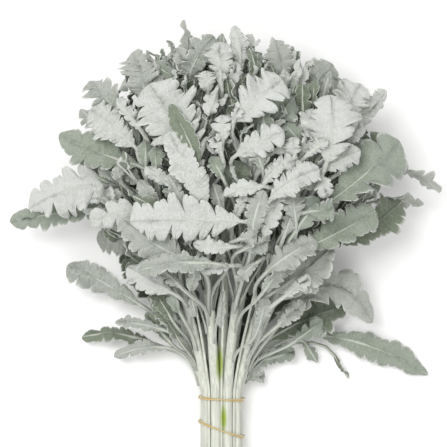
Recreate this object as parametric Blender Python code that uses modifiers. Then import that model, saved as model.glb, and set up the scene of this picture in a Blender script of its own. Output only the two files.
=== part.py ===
"""A market bunch of cut dusty miller, lying on its back.

Twelve felted stems are held by two thin rubber bands near their cut ends, and lobed leaves spread
from them into a broad head. The stems run along Y with the cut ends at -Y and the head at +Y, and
the underside of the head and the lower band rest on the ground at Z = 0.
"""

import itertools
import math
from typing import NamedTuple

import bmesh
import bpy
from mathutils import Quaternion, Vector
from mathutils.bvhtree import BVHTree

MM = 0.001

# The tied part of the bunch
BUNDLE_RADIUS = 18.4 * MM
BAND_RADIUS = 1.0 * MM
GAP = 0.3 * MM
AXIS_X = -3.0 * MM
AXIS_Z = BUNDLE_RADIUS + GAP + 2 * BAND_RADIUS
CUT_END_Y = -211.0 * MM
FAN_START_Y = -104.0 * MM
INNER_RING = 5.4 * MM
FAN_POWER = 1.18
STEM_TIP_SHARE = 0.52
STEM_STEP = 24.0 * MM

# Each stem: place in the tie in degrees, radius, how much shorter its cut end is, tip X, Y, Z
OUTER_STEMS = (
    (30, 4.2, 3, 84, 112, 108),
    (70, 4.4, 0, 30, 131, 124),
    (110, 4.4, 5, -28, 129, 122),
    (150, 4.1, 2, -74, 104, 104),
    (190, 4.3, 7, -92, 92, 60),
    (230, 4.0, 1, -62, 128, 27),
    (270, 4.3, 4, 2, 150, 13),
    (310, 4.1, 0, 62, 136, 25),
    (350, 4.4, 6, 100, 90, 58),
)
INNER_STEMS = (
    (90, 4.3, 2, 5, 166, 92),
    (210, 4.3, 6, -38, 158, 62),
    (330, 4.3, 1, 52, 156, 64),
)

# Each band: height along the stems at the axis, rise of its plane for each unit of X
BANDS = ((-110.0, -0.06), (-136.5, -0.36))
BAND_POINTS = 40
TUBE_RESOLUTION = 2

# Leaf build
PETIOLE_HALF_WIDTH = 1.6 * MM
RIB_THICKNESS = 2.0 * MM
EDGE_SHARE = 0.5
TIP_HALF_WIDTH = 1.6 * MM
LOBE_LEAN = 0.45
OUTLINE_POWER = 0.6
PETIOLE_ROWS = 4
COLUMNS = 3
RIB_COLUMN = 1
HANDLE = 0.38

# Outline kinds: lobes on each side, depth of the cuts, place of the widest part
OUTLINES = {
    "cut": (5, 0.45, 1.25),
    "broad": (5, 0.28, 1.15),
    "strap": (5, 0.14, 1.05),
    "spear": (3, 0.30, 0.90),
}

# Each leaf, in millimetres: stem, Y of its foot, blade start, blade tip, bow of the blade,
# width, roll in degrees, fold in degrees, outline
LEAVES = (
    # Long lower leaves beside the tie
    (9, -92, (84, -56, 10), (176, -90, 4), (0, 6, 3), 26, 0, 4, "strap"),
    (8, -88, (40, -58, 26), (104, -32, 22), (0, 4, 4), 40, -12, 10, "broad"),
    (9, -84, (44, -48, 42), (126, -44, 34), (3, 33, 6), 36, -10, 14, "broad"),
    (5, -86, (-64, -62, 16), (-124, -58, 10), (0, 5, 2), 22, 35, 8, "cut"),
    (5, -66, (-74, -28, 34), (-136, 4, 24), (0, 3, 5), 34, 0, 4, "cut"),
    (6, -80, (-52, -36, 22), (-88, 14, 16), (-3, 0, 3), 26, 55, 10, "cut"),
    # Underside of the head, flat on the ground
    (6, 20, (-66, 78, 6), (-126, 118, -4), (0, 0, 2), 46, 0, 0, "broad"),
    (7, 60, (-10, 128, 5), (-44, 194, -4), (0, 0, 2), 44, 0, 0, "broad"),
    (8, 40, (62, 112, 6), (104, 166, -4), (0, 0, 2), 44, 0, 0, "broad"),
    (8, -5, (62, 46, 6), (128, 66, -4), (0, 0, 2), 46, 0, 0, "broad"),
    (6, -20, (-52, 32, 6), (-112, 28, -4), (0, 0, 2), 42, 0, 0, "cut"),
    # Left side of the head
    (5, 8, (-96, 54, 54), (-184, 43, 42), (0, 2, 4), 30, 0, 4, "cut"),
    (5, 18, (-76, 78, 78), (-166, 54, 64), (0, 7, 6), 40, -8, 8, "cut"),
    (4, 2, (-64, 50, 98), (-112, 42, 84), (0, 4, 6), 30, 10, 8, "cut"),
    (4, 34, (-74, 90, 96), (-139, 116, 80), (0, -2, 5), 38, 0, 6, "broad"),
    (4, 50, (-76, 106, 112), (-112, 136, 100), (0, 0, 5), 38, 0, 6, "cut"),
    (5, 66, (-98, 116, 62), (-123, 138, 54), (0, 0, 3), 20, 20, 10, "spear"),
    (4, 72, (-84, 130, 96), (-114, 160, 88), (0, 0, 5), 34, 10, 14, "broad"),
    (4, 84, (-66, 142, 106), (-77, 184, 98), (2, 0, 5), 34, -10, 14, "cut"),
    # Crown of the head
    (11, 120, (-40, 166, 80), (-35, 212, 84), (5, -3, 3), 15, 50, 12, "spear"),
    (11, 108, (-32, 158, 92), (-10, 198, 100), (-3, 0, 4), 26, 0, 12, "broad"),
    (10, 118, (-4, 158, 114), (-5, 191, 116), (0, 0, 4), 26, 0, 6, "broad"),
    (10, 130, (12, 168, 104), (8, 206, 98), (2, 0, 3), 19, 20, 8, "strap"),
    (12, 112, (46, 156, 86), (42, 195, 84), (2, 0, 4), 26, 10, 8, "cut"),
    (12, 126, (68, 150, 80), (90, 176, 76), (0, 0, 4), 30, 0, 8, "cut"),
    # Right side of the head
    (1, 92, (96, 128, 102), (113, 158, 94), (0, 0, 4), 34, 0, 8, "cut"),
    (1, 78, (108, 122, 86), (135, 153, 80), (0, 0, 3), 22, 25, 8, "spear"),
    (9, 64, (114, 94, 72), (135, 117, 66), (0, 0, 3), 28, -10, 8, "broad"),
    (9, 48, (136, 90, 54), (183, 68, 52), (2, 6, 3), 22, 62, 12, "spear"),
    (9, 26, (126, 60, 42), (170, 58, 34), (0, 3, 2), 20, 50, 12, "spear"),
    (9, -8, (98, 24, 58), (151, 60, 46), (2, -2, 3), 36, 0, 6, "cut"),
    (1, 10, (88, 60, 106), (145, 111, 92), (2, -2, 5), 52, -8, 10, "broad"),
    (1, -16, (70, 22, 92), (126, 52, 82), (0, -2, 5), 38, -8, 10, "broad"),
    (1, 40, (84, 92, 126), (86, 147, 124), (3, 0, 6), 48, 0, 8, "broad"),
    # Front of the head
    (2, 24, (38, 62, 130), (77, 86, 132), (0, 3, 7), 32, -15, 8, "cut"),
    (2, -22, (22, 28, 120), (32, 68, 124), (-2, 0, 4), 22, 0, 10, "cut"),
    (2, 60, (10, 98, 134), (48, 117, 138), (0, 0, 5), 26, 0, 6, "broad"),
    (2, 84, (8, 126, 140), (46, 160, 134), (0, 0, 6), 44, 0, 8, "broad"),
    (3, 28, (-16, 58, 136), (-47, 116, 138), (0, 0, 6), 29, 8, 5, "strap"),
    (3, 42, (-20, 84, 132), (-63, 156, 116), (2, 0, 8), 56, 6, 14, "cut"),
    (2, 4, (13, 43, 132), (-78, 43, 122), (0, 2, 8), 50, 0, 6, "cut"),
    # Below the head
    (3, -36, (-32, 10, 108), (-86, 44, 98), (0, -2, 5), 38, 0, 8, "cut"),
    (3, -28, (-10, 8, 120), (-72, 2, 110), (0, 3, 5), 24, 35, 10, "cut"),
    (4, -48, (-46, -16, 88), (-82, 4, 82), (0, 0, 4), 28, 10, 10, "broad"),
    (1, -44, (34, 0, 104), (76, 26, 100), (0, 3, 7), 28, -10, 10, "cut"),
    (1, -58, (42, -16, 78), (90, 20, 72), (0, -2, 5), 36, -10, 10, "broad"),
)

# Small changes tried in turn until a leaf touches no other piece
LIFTS = (0, 5, -5, 10, -10, 16, -16, 23, -23, 31)
TURNS = (0, 35, -35, 70, -70, 110, -110)
SLIDES = (0, 8, -8, 16, -16)
TILTS = (0, 14, -14)

STEM_FELT = ("stem_felt", (0.66, 0.68, 0.61, 1.0), 0.9)
LEAF_FELT = ("leaf_felt", (0.60, 0.64, 0.60, 1.0), 0.92)
BAND_RUBBER = ("band_rubber", (0.62, 0.42, 0.20, 1.0), 0.6)


def clear_scene():
    """Remove what the new file starts with."""
    for obj in list(bpy.data.objects):
        bpy.data.objects.remove(obj, do_unlink=True)


def make_material(name, colour, roughness):
    """A plain non-metal surface."""
    material = bpy.data.materials.new(name)
    material.use_nodes = True
    shader = material.node_tree.nodes["Principled BSDF"]
    shader.inputs["Base Color"].default_value = colour
    shader.inputs["Roughness"].default_value = roughness
    shader.inputs["Metallic"].default_value = 0.0
    return material


def millimetres(values):
    """A point given in millimetres, in metres."""
    return Vector(values) * MM


class Leaf(NamedTuple):
    """One row of the leaves, in millimetres and degrees."""

    stem: int
    foot_y: float
    start: tuple
    tip: tuple
    bow: tuple
    width: float
    roll: float
    fold: float
    outline: str


class Stem:
    """One cut stem: straight and parallel in the tie, then fanning out to its tip."""

    def __init__(self, name, row, ring):
        angle, radius, shorter, *tip = row
        self.name = name
        self.radius = radius * MM
        turn = math.radians(angle)
        self.tie_x = AXIS_X + ring * math.cos(turn)
        self.tie_z = AXIS_Z + ring * math.sin(turn)
        self.start_y = CUT_END_Y + shorter * MM
        self.tip = millimetres(tip)

    def centre(self, y):
        """Centre of the stem at this Y."""
        spread = max(0.0, (y - FAN_START_Y) / (self.tip.y - FAN_START_Y)) ** FAN_POWER
        x = self.tie_x + (self.tip.x - self.tie_x) * spread
        z = self.tie_z + (self.tip.z - self.tie_z) * spread
        return Vector((x, y, z))

    def direction(self, y):
        """Way the stem grows at this Y."""
        step = 1.0 * MM
        return (self.centre(y + step) - self.centre(y - step)).normalized()

    def radius_at(self, y):
        """Radius at this Y: full in the tie, thinner to the tip."""
        share = max(0.0, (y - FAN_START_Y) / (self.tip.y - FAN_START_Y))
        return self.radius * (1 - (1 - STEM_TIP_SHARE) * min(1.0, share))


def all_stems():
    """Stems by number, the outer ring first."""
    outer = [
        Stem(f"stem_{n:02d}", row, BUNDLE_RADIUS - row[1] * MM)
        for n, row in enumerate(OUTER_STEMS, 1)
    ]
    inner = [
        Stem(f"stem_{n:02d}", row, INNER_RING)
        for n, row in enumerate(INNER_STEMS, len(OUTER_STEMS) + 1)
    ]
    return {n: stem for n, stem in enumerate(outer + inner, 1)}


def add_piece(name, data, place, material, parent):
    """A piece of the bunch at its place, with its material."""
    piece = bpy.data.objects.new(name, data)
    piece.location = place
    piece.parent = parent
    data.materials.append(material)
    parent.users_collection[0].objects.link(piece)
    return piece


def make_tube(name, points, radii, closed, material, parent):
    """A round tube through the points, with a radius at each and its origin at the first."""
    curve = bpy.data.curves.new(name, "CURVE")
    curve.dimensions = "3D"
    curve.bevel_depth = 1.0
    curve.bevel_resolution = TUBE_RESOLUTION
    curve.use_fill_caps = not closed
    spline = curve.splines.new("POLY")
    spline.points.add(len(points) - 1)
    for target, point, radius in zip(spline.points, points, radii):
        target.co = (*(point - points[0]), 1.0)
        target.radius = radius
    spline.use_cyclic_u = closed
    return add_piece(name, curve, points[0], material, parent)


def make_stem(stem, material, parent):
    """The stem as a tapering tube."""
    fan = stem.tip.y - FAN_START_Y
    count = math.ceil(fan / STEM_STEP)
    heights = [stem.start_y] + [FAN_START_Y + fan * i / count for i in range(count + 1)]
    points = [stem.centre(y) for y in heights]
    radii = [stem.radius_at(y) for y in heights]
    return make_tube(stem.name, points, radii, False, material, parent)


def band_path(stems, height, slope):
    """The stretched loop around the outer stems, at the height along Y and with the slope over X."""
    path = []
    for i in range(BAND_POINTS):
        turn = 2 * math.pi * i / BAND_POINTS
        way = Vector((math.cos(turn), 0.0, math.sin(turn)))
        reach = [
            Vector((s.tie_x, 0.0, s.tie_z)) + way * (s.radius + GAP + BAND_RADIUS)
            for s in stems.values()
        ]
        point = max(reach, key=way.dot)
        point.y = height + slope * (point.x - AXIS_X)
        path.append(point)
    return path


def make_band(number, stems, row, material, parent):
    """One thin rubber band."""
    height, slope = row
    path = band_path(stems, height * MM, slope)
    radii = [BAND_RADIUS] * len(path)
    return make_tube(f"rubber_band_{number}", path, radii, True, material, parent)


def bezier(points, t):
    """Point of a cubic curve."""
    a, b, c, d = points
    s = 1 - t
    return a * s**3 + b * 3 * s * s * t + c * 3 * s * t * t + d * t**3


def leaf_foot(stem, y, towards, turn):
    """Where the petiole leaves the stem's side, the stem's direction there and the way out."""
    centre, along = stem.centre(y), stem.direction(y)
    out = towards - centre
    out = (out - along * out.dot(along)).normalized()
    out = Quaternion(along, math.radians(turn)) @ out
    return centre + out * (stem.radius_at(y) + GAP), along, out


def leaf_centreline(stem, leaf, change):
    """Petiole and blade as two cubic curves that meet smoothly, and the way out at the foot.

    The blade is a parabola that passes its bow away from the straight line at half its length.
    """
    lift, turn, slide, _ = change
    start = millimetres(leaf.start) + Vector((0, 0, lift * MM))
    tip = millimetres(leaf.tip) + Vector((0, 0, lift * MM))
    middle = (start + tip) / 2 + millimetres(leaf.bow) * 2
    foot, along, out = leaf_foot(stem, (leaf.foot_y + slide) * MM, start, turn)
    handle = (start - foot).length * HANDLE
    back = (start - middle).normalized()
    petiole = (foot, foot + along * handle, start + back * handle, start)
    blade = (start, (start + middle * 2) / 3, (tip + middle * 2) / 3, tip)
    return petiole, blade, out


def outline_rows(kind, width):
    """Blade rows as (share of the length, half width), from the petiole to the tip."""
    lobes, depth, widest = OUTLINES[kind]
    rows = [(0.0, PETIOLE_HALF_WIDTH)]
    count = 2 * lobes
    for i in range(1, count):
        share = i / count
        half = width * MM / 2 * math.sin(math.pi * share**widest) ** OUTLINE_POWER
        cut = 0.0 if i % 2 else depth
        rows.append((share, max(PETIOLE_HALF_WIDTH, half * (1 - cut))))
    rows.append((1.0, TIP_HALF_WIDTH))
    return rows


def leaf_rows(stem, leaf, change):
    """Rows of the leaf as (centre, half width), and the way out at the foot."""
    petiole, blade, out = leaf_centreline(stem, leaf, change)
    rows = [
        (bezier(petiole, i / PETIOLE_ROWS), PETIOLE_HALF_WIDTH)
        for i in range(PETIOLE_ROWS)
    ]
    outline = outline_rows(leaf.outline, leaf.width)
    rows += [(bezier(blade, share), half) for share, half in outline]
    return rows, out


def row_frames(rows, roll, out):
    """Direction and face normal of every row.

    The normals are carried from the middle of the blade both ways. The petiole then twists so
    that its foot lies flat against the stem.
    """
    centres = [centre for centre, _ in rows]
    last = len(centres) - 1
    middle = (PETIOLE_ROWS + last) // 2
    along = [
        (centres[min(i + 1, last)] - centres[max(i - 1, 0)]).normalized()
        for i in range(last + 1)
    ]
    normals = [None] * (last + 1)
    up = Vector((0, 0, 1))
    up = (up - along[middle] * up.dot(along[middle])).normalized()
    normals[middle] = Quaternion(along[middle], math.radians(roll)) @ up
    for i in [*range(middle + 1, last + 1), *range(middle - 1, -1, -1)]:
        before = normals[i - 1] if i > middle else normals[i + 1]
        normals[i] = (before - along[i] * before.dot(along[i])).normalized()
    twist = math.atan2(normals[0].cross(out).dot(along[0]), normals[0].dot(out))
    for i in range(PETIOLE_ROWS):
        turn = Quaternion(along[i], twist * (1 - i / PETIOLE_ROWS))
        normals[i] = turn @ normals[i]
    return along, normals


def leaf_mesh(name, stem, leaf, change):
    """The leaf's lower face as a strip of three columns, kept above the ground, and its foot.

    The grid starts two units wide and long, with its middle at the origin.
    """
    rows, out = leaf_rows(stem, leaf, change)
    *_, tilt = change
    along, normals = row_frames(rows, leaf.roll + tilt, out)
    rise = math.tan(math.radians(leaf.fold))
    mesh = bmesh.new()
    last = len(rows) - 1
    bmesh.ops.create_grid(mesh, x_segments=COLUMNS - 1, y_segments=last, size=1.0)
    for vertex in mesh.verts:
        row = round((vertex.co.y + 1) / 2 * last)
        column = round(vertex.co.x)
        centre, half = rows[row]
        side = along[row].cross(normals[row]) * column * half
        lobe = abs(column) * (half - PETIOLE_HALF_WIDTH)
        vertex.co = centre + side + along[row] * lobe * LOBE_LEAN
        vertex.co += normals[row] * lobe * rise
        vertex.co.z = max(vertex.co.z, 0.0)
    foot = rows[0][0]
    bmesh.ops.translate(mesh, verts=mesh.verts, vec=-foot)
    data = bpy.data.meshes.new(name)
    mesh.to_mesh(data)
    mesh.free()
    data.shade_smooth()
    return data, foot


def make_leaf(name, stem, leaf, change, material, parent):
    """A leaf: petiole and lobed blade, thick along the rib and thin at the edge."""
    data, foot = leaf_mesh(name, stem, leaf, change)
    obj = add_piece(name, data, foot, material, parent)
    rib = obj.vertex_groups.new(name="rib")
    members = [v.index for v in data.vertices if v.index % COLUMNS == RIB_COLUMN]
    rib.add(members, 1.0, "REPLACE")
    solid = obj.modifiers.new("thickness", "SOLIDIFY")
    solid.thickness = RIB_THICKNESS
    solid.offset = 1.0
    solid.vertex_group = rib.name
    solid.thickness_vertex_group = EDGE_SHARE
    return obj


def solid_tree(obj):
    """The finished surface of a piece in world space, ready for overlap tests."""
    bpy.context.view_layer.update()
    finished = obj.evaluated_get(bpy.context.evaluated_depsgraph_get())
    mesh = finished.to_mesh()
    mesh.calc_loop_triangles()
    corners = [finished.matrix_world @ vertex.co for vertex in mesh.vertices]
    faces = [triangle.vertices[:] for triangle in mesh.loop_triangles]
    tree = BVHTree.FromPolygons(corners, faces, all_triangles=True)
    finished.to_mesh_clear()
    return tree


def changes():
    """Every change to try, the smallest first."""
    ranks = [range(len(options)) for options in (LIFTS, TURNS, SLIDES, TILTS)]
    for a, b, c, d in sorted(itertools.product(*ranks), key=lambda r: (sum(r), r)):
        yield LIFTS[a], TURNS[b], SLIDES[c], TILTS[d]


def place_leaf(number, stems, leaf, placed, material, parent):
    """The leaf with the smallest change that keeps it clear of every piece placed so far."""
    name = f"leaf_{number:02d}"
    for change in changes():
        obj = make_leaf(name, stems[leaf.stem], leaf, change, material, parent)
        tree = solid_tree(obj)
        if not any(tree.overlap(other) for other in placed):
            placed.append(tree)
            return obj
        data = obj.data
        bpy.data.objects.remove(obj, do_unlink=True)
        bpy.data.meshes.remove(data)
    raise RuntimeError(f"{name} finds no free place")


def main():
    """Build the bunch: stems, bands, then leaves."""
    clear_scene()
    collection = bpy.data.collections.new("dusty_miller_bunch")
    bpy.context.scene.collection.children.link(collection)
    bunch = bpy.data.objects.new("bunch", None)
    collection.objects.link(bunch)
    stem_felt, leaf_felt, rubber = (
        make_material(*row) for row in (STEM_FELT, LEAF_FELT, BAND_RUBBER)
    )
    stems = all_stems()
    pieces = [make_stem(stem, stem_felt, bunch) for stem in stems.values()]
    pieces += [make_band(n, stems, row, rubber, bunch) for n, row in enumerate(BANDS, 1)]
    placed = [solid_tree(piece) for piece in pieces]
    for number, row in enumerate(LEAVES, 1):
        place_leaf(number, stems, Leaf(*row), placed, leaf_felt, bunch)


main()
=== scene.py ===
"""Looks of a market bunch of cut dusty miller, lying on its back on a pale floor.

The frame gives the place of every stem, band and leaf. Each is built again here in full detail:
felted stems, wound rubber bands, and leaves with rounded lobes, ruffled edges and a pale midrib.
Small leaves fill the head between the large ones. Lengths are in metres, with +Z up.
"""

import functools
import itertools
import math
import random

import bpy
import numpy as np
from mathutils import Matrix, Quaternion, Vector
from mathutils.bvhtree import BVHTree
from mathutils.kdtree import KDTree


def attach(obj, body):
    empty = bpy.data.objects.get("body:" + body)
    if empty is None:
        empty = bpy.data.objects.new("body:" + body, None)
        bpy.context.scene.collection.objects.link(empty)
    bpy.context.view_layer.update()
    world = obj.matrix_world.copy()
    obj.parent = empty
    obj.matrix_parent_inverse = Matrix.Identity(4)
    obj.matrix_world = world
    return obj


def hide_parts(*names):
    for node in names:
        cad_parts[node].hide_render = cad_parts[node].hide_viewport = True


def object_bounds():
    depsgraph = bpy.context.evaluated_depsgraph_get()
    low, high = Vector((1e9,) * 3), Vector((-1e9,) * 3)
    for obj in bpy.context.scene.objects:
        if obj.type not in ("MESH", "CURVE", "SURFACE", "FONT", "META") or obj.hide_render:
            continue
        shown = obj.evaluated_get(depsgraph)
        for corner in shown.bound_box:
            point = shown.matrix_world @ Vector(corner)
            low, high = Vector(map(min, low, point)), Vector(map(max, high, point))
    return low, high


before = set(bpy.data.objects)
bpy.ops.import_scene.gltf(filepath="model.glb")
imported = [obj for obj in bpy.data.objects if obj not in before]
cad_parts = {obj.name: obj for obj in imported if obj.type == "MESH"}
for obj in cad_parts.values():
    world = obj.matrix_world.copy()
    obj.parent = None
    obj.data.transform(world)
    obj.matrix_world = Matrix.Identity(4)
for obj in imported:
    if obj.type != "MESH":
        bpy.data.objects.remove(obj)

bl_info = {
    "name": "Dusty Miller Bunch",
    "version": (1, 0, 0),
    "blender": (4, 5, 0),
    "location": "3D View > Sidebar > Bunch",
    "description": "Leaves, stems and bands of a tied bunch of cut dusty miller",
    "category": "Add Mesh",
}

MM = 0.001
CAD_LOW, CAD_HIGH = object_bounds()

# The tied part of the bunch, as in the frame
BUNDLE_RADIUS = 18.4 * MM
BAND_RADIUS = 1.0 * MM
GAP = 0.3 * MM
AXIS_X = -3.0 * MM
AXIS_Z = BUNDLE_RADIUS + GAP + 2 * BAND_RADIUS
CUT_END_Y = -211.0 * MM
FAN_START_Y = -104.0 * MM
INNER_RING = 5.4 * MM
FAN_POWER = 1.18
STEM_TIP_SHARE = 0.52

# Each stem: place in the tie in degrees, radius, how much shorter its cut end is, tip X, Y, Z
OUTER_STEMS = (
    (30, 4.2, 3, 84, 112, 108),
    (70, 4.4, 0, 30, 131, 124),
    (110, 4.4, 5, -28, 129, 122),
    (150, 4.1, 2, -74, 104, 104),
    (190, 4.3, 7, -92, 92, 60),
    (230, 4.0, 1, -62, 128, 27),
    (270, 4.3, 4, 2, 150, 13),
    (310, 4.1, 0, 62, 136, 25),
    (350, 4.4, 6, 100, 90, 58),
)
INNER_STEMS = (
    (90, 4.3, 2, 5, 166, 92),
    (210, 4.3, 6, -38, 158, 62),
    (330, 4.3, 1, 52, 156, 64),
)

# Thin stalks in the grooves between outer stems: their two stems, and where they end
STALKS = ((9, 1, -30.0), (1, 2, -6.0), (2, 3, -2.0), (3, 4, -8.0), (4, 5, -90.0))
STALK_RADIUS = 1.1 * MM
STALK_RING = 16.55 * MM

# Each band: height along the stems at the axis, rise of its plane for each unit of X
BANDS = ((-110.0, -0.06), (-136.5, -0.36))

# Leaf build, as in the frame
PETIOLE_HALF_WIDTH = 1.6 * MM
HANDLE = 0.38

# Leaf styles: rows of the frame's leaf, place of the widest part, then lobes on each side,
# depth of the cuts, forward lean of the lobes, curl of the lobes, wave of the edge
STYLES = {
    "cut": (10, 1.25, 8, 0.40, 0.50, 0.60, 0.22),
    "broad": (10, 1.15, 5, 0.46, 0.62, 0.55, 0.22),
    "fingers": (10, 1.25, 5, 0.52, 0.66, 0.60, 0.22),
    "round": (10, 1.15, 5, 0.60, 0.62, 0.50, 0.20),
    "strap": (10, 1.05, 8, 0.14, 0.40, 0.35, 0.14),
    "spear": (6, 0.90, 5, 0.42, 0.60, 0.50, 0.24),
}

# Each leaf of the frame, in millimetres: stem, Y of its foot, blade start, blade tip, bow of the
# blade, width, roll in degrees, fold in degrees, style, felt
# Leaves in the darkest felt are painted shade.
LEAVES = (
    # Long lower leaves beside the tie
    (9, -92, (84, -56, 10), (176, -90, 4), (0, 6, 3), 26, 0, 4, "strap", "sage"),
    (8, -88, (40, -58, 26), (104, -32, 22), (0, 4, 4), 40, -12, 10, "broad", "olive"),
    (9, -84, (44, -48, 42), (126, -44, 34), (3, 33, 6), 36, -10, 14, "broad", "grey"),
    (5, -86, (-64, -62, 16), (-124, -58, 10), (0, 5, 2), 22, 35, 8, "cut", "olive"),
    (5, -66, (-74, -28, 34), (-136, 4, 24), (0, 3, 5), 34, 0, 4, "fingers", "grey"),
    (6, -80, (-52, -36, 22), (-88, 14, 16), (-3, 0, 3), 26, 55, 10, "cut", "painted_shade"),
    # Underside of the head, flat on the ground
    (6, 20, (-66, 78, 6), (-126, 118, -4), (0, 0, 2), 46, 0, 0, "broad", "grey"),
    (7, 60, (-10, 128, 5), (-44, 194, -4), (0, 0, 2), 44, 0, 0, "broad", "grey"),
    (8, 40, (62, 112, 6), (104, 166, -4), (0, 0, 2), 44, 0, 0, "broad", "grey"),
    (8, -5, (62, 46, 6), (128, 66, -4), (0, 0, 2), 46, 0, 0, "broad", "grey"),
    (6, -20, (-52, 32, 6), (-112, 28, -4), (0, 0, 2), 42, 0, 0, "cut", "grey"),
    # Left side of the head
    (5, 8, (-96, 54, 54), (-184, 43, 42), (0, 2, 4), 30, 0, 4, "cut", "sage"),
    (5, 18, (-76, 78, 78), (-166, 54, 64), (0, 7, 6), 40, -8, 8, "cut", "pale"),
    (4, 2, (-64, 50, 98), (-112, 42, 84), (0, 4, 6), 30, 10, 8, "fingers", "pale"),
    (4, 34, (-74, 90, 96), (-139, 116, 80), (0, -2, 5), 38, 0, 6, "round", "sage"),
    (4, 50, (-76, 106, 112), (-112, 136, 100), (0, 0, 5), 38, 0, 6, "cut", "pale"),
    (5, 66, (-98, 116, 62), (-123, 138, 54), (0, 0, 3), 20, 20, 10, "spear", "grey"),
    (4, 72, (-84, 130, 96), (-114, 160, 88), (0, 0, 5), 34, 10, 14, "broad", "grey"),
    (4, 84, (-66, 142, 106), (-77, 184, 98), (2, 0, 5), 34, -10, 14, "cut", "grey"),
    # Crown of the head
    (11, 120, (-40, 166, 80), (-35, 212, 84), (5, -3, 3), 15, 50, 12, "spear", "grey"),
    (11, 108, (-32, 158, 92), (-10, 198, 100), (-3, 0, 4), 26, 0, 12, "broad", "grey"),
    (10, 118, (-4, 158, 114), (-5, 191, 116), (0, 0, 4), 26, 0, 6, "broad", "pale"),
    (10, 130, (12, 168, 104), (8, 206, 98), (2, 0, 3), 19, 20, 8, "strap", "pale"),
    (12, 112, (46, 156, 86), (42, 195, 84), (2, 0, 4), 26, 10, 8, "cut", "grey"),
    (12, 126, (68, 150, 80), (90, 176, 76), (0, 0, 4), 30, 0, 8, "cut", "grey"),
    # Right side of the head
    (1, 92, (96, 128, 102), (113, 158, 94), (0, 0, 4), 34, 0, 8, "cut", "pale"),
    (1, 78, (108, 122, 86), (135, 153, 80), (0, 0, 3), 22, 25, 8, "spear", "pale"),
    (9, 64, (114, 94, 72), (135, 117, 66), (0, 0, 3), 28, -10, 8, "broad", "olive"),
    (9, 48, (136, 90, 54), (183, 68, 52), (2, 6, 3), 22, 62, 12, "spear", "grey"),
    (9, 26, (126, 60, 42), (170, 58, 34), (0, 3, 2), 20, 50, 12, "spear", "grey"),
    (9, -8, (98, 24, 58), (151, 60, 46), (2, -2, 3), 36, 0, 6, "cut", "olive"),
    (1, 10, (88, 60, 106), (145, 111, 92), (2, -2, 5), 52, -8, 10, "broad", "sage"),
    (1, -16, (70, 22, 92), (126, 52, 82), (0, -2, 5), 38, -8, 10, "broad", "sage"),
    (1, 40, (84, 92, 126), (86, 147, 124), (3, 0, 6), 48, 0, 8, "broad", "pale"),
    # Front of the head
    (2, 24, (38, 62, 130), (77, 86, 132), (0, 3, 7), 32, -15, 8, "cut", "pale"),
    (2, -22, (22, 28, 120), (32, 68, 124), (-2, 0, 4), 22, 0, 10, "cut", "grey"),
    (2, 60, (10, 98, 134), (48, 117, 138), (0, 0, 5), 26, 0, 6, "broad", "pale"),
    (2, 84, (8, 126, 140), (46, 160, 134), (0, 0, 6), 44, 0, 8, "broad", "pale"),
    (3, 28, (-16, 58, 136), (-47, 116, 138), (0, 0, 6), 29, 8, 5, "strap", "pale"),
    (3, 42, (-20, 84, 132), (-63, 156, 116), (2, 0, 8), 56, 6, 14, "cut", "pale"),
    (2, 4, (13, 43, 132), (-78, 43, 122), (0, 2, 8), 50, 0, 6, "cut", "pale"),
    # Below the head
    (3, -36, (-32, 10, 108), (-86, 44, 98), (0, -2, 5), 38, 0, 8, "cut", "grey"),
    (3, -28, (-10, 8, 120), (-72, 2, 110), (0, 3, 5), 24, 35, 10, "cut", "grey"),
    (4, -48, (-46, -16, 88), (-82, 4, 82), (0, 0, 4), 28, 10, 10, "broad", "pale"),
    (1, -44, (34, 0, 104), (76, 26, 100), (0, 3, 7), 28, -10, 10, "cut", "grey"),
    (1, -58, (42, -16, 78), (90, 20, 72), (0, -2, 5), 36, -10, 10, "broad", "grey"),
)
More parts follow.
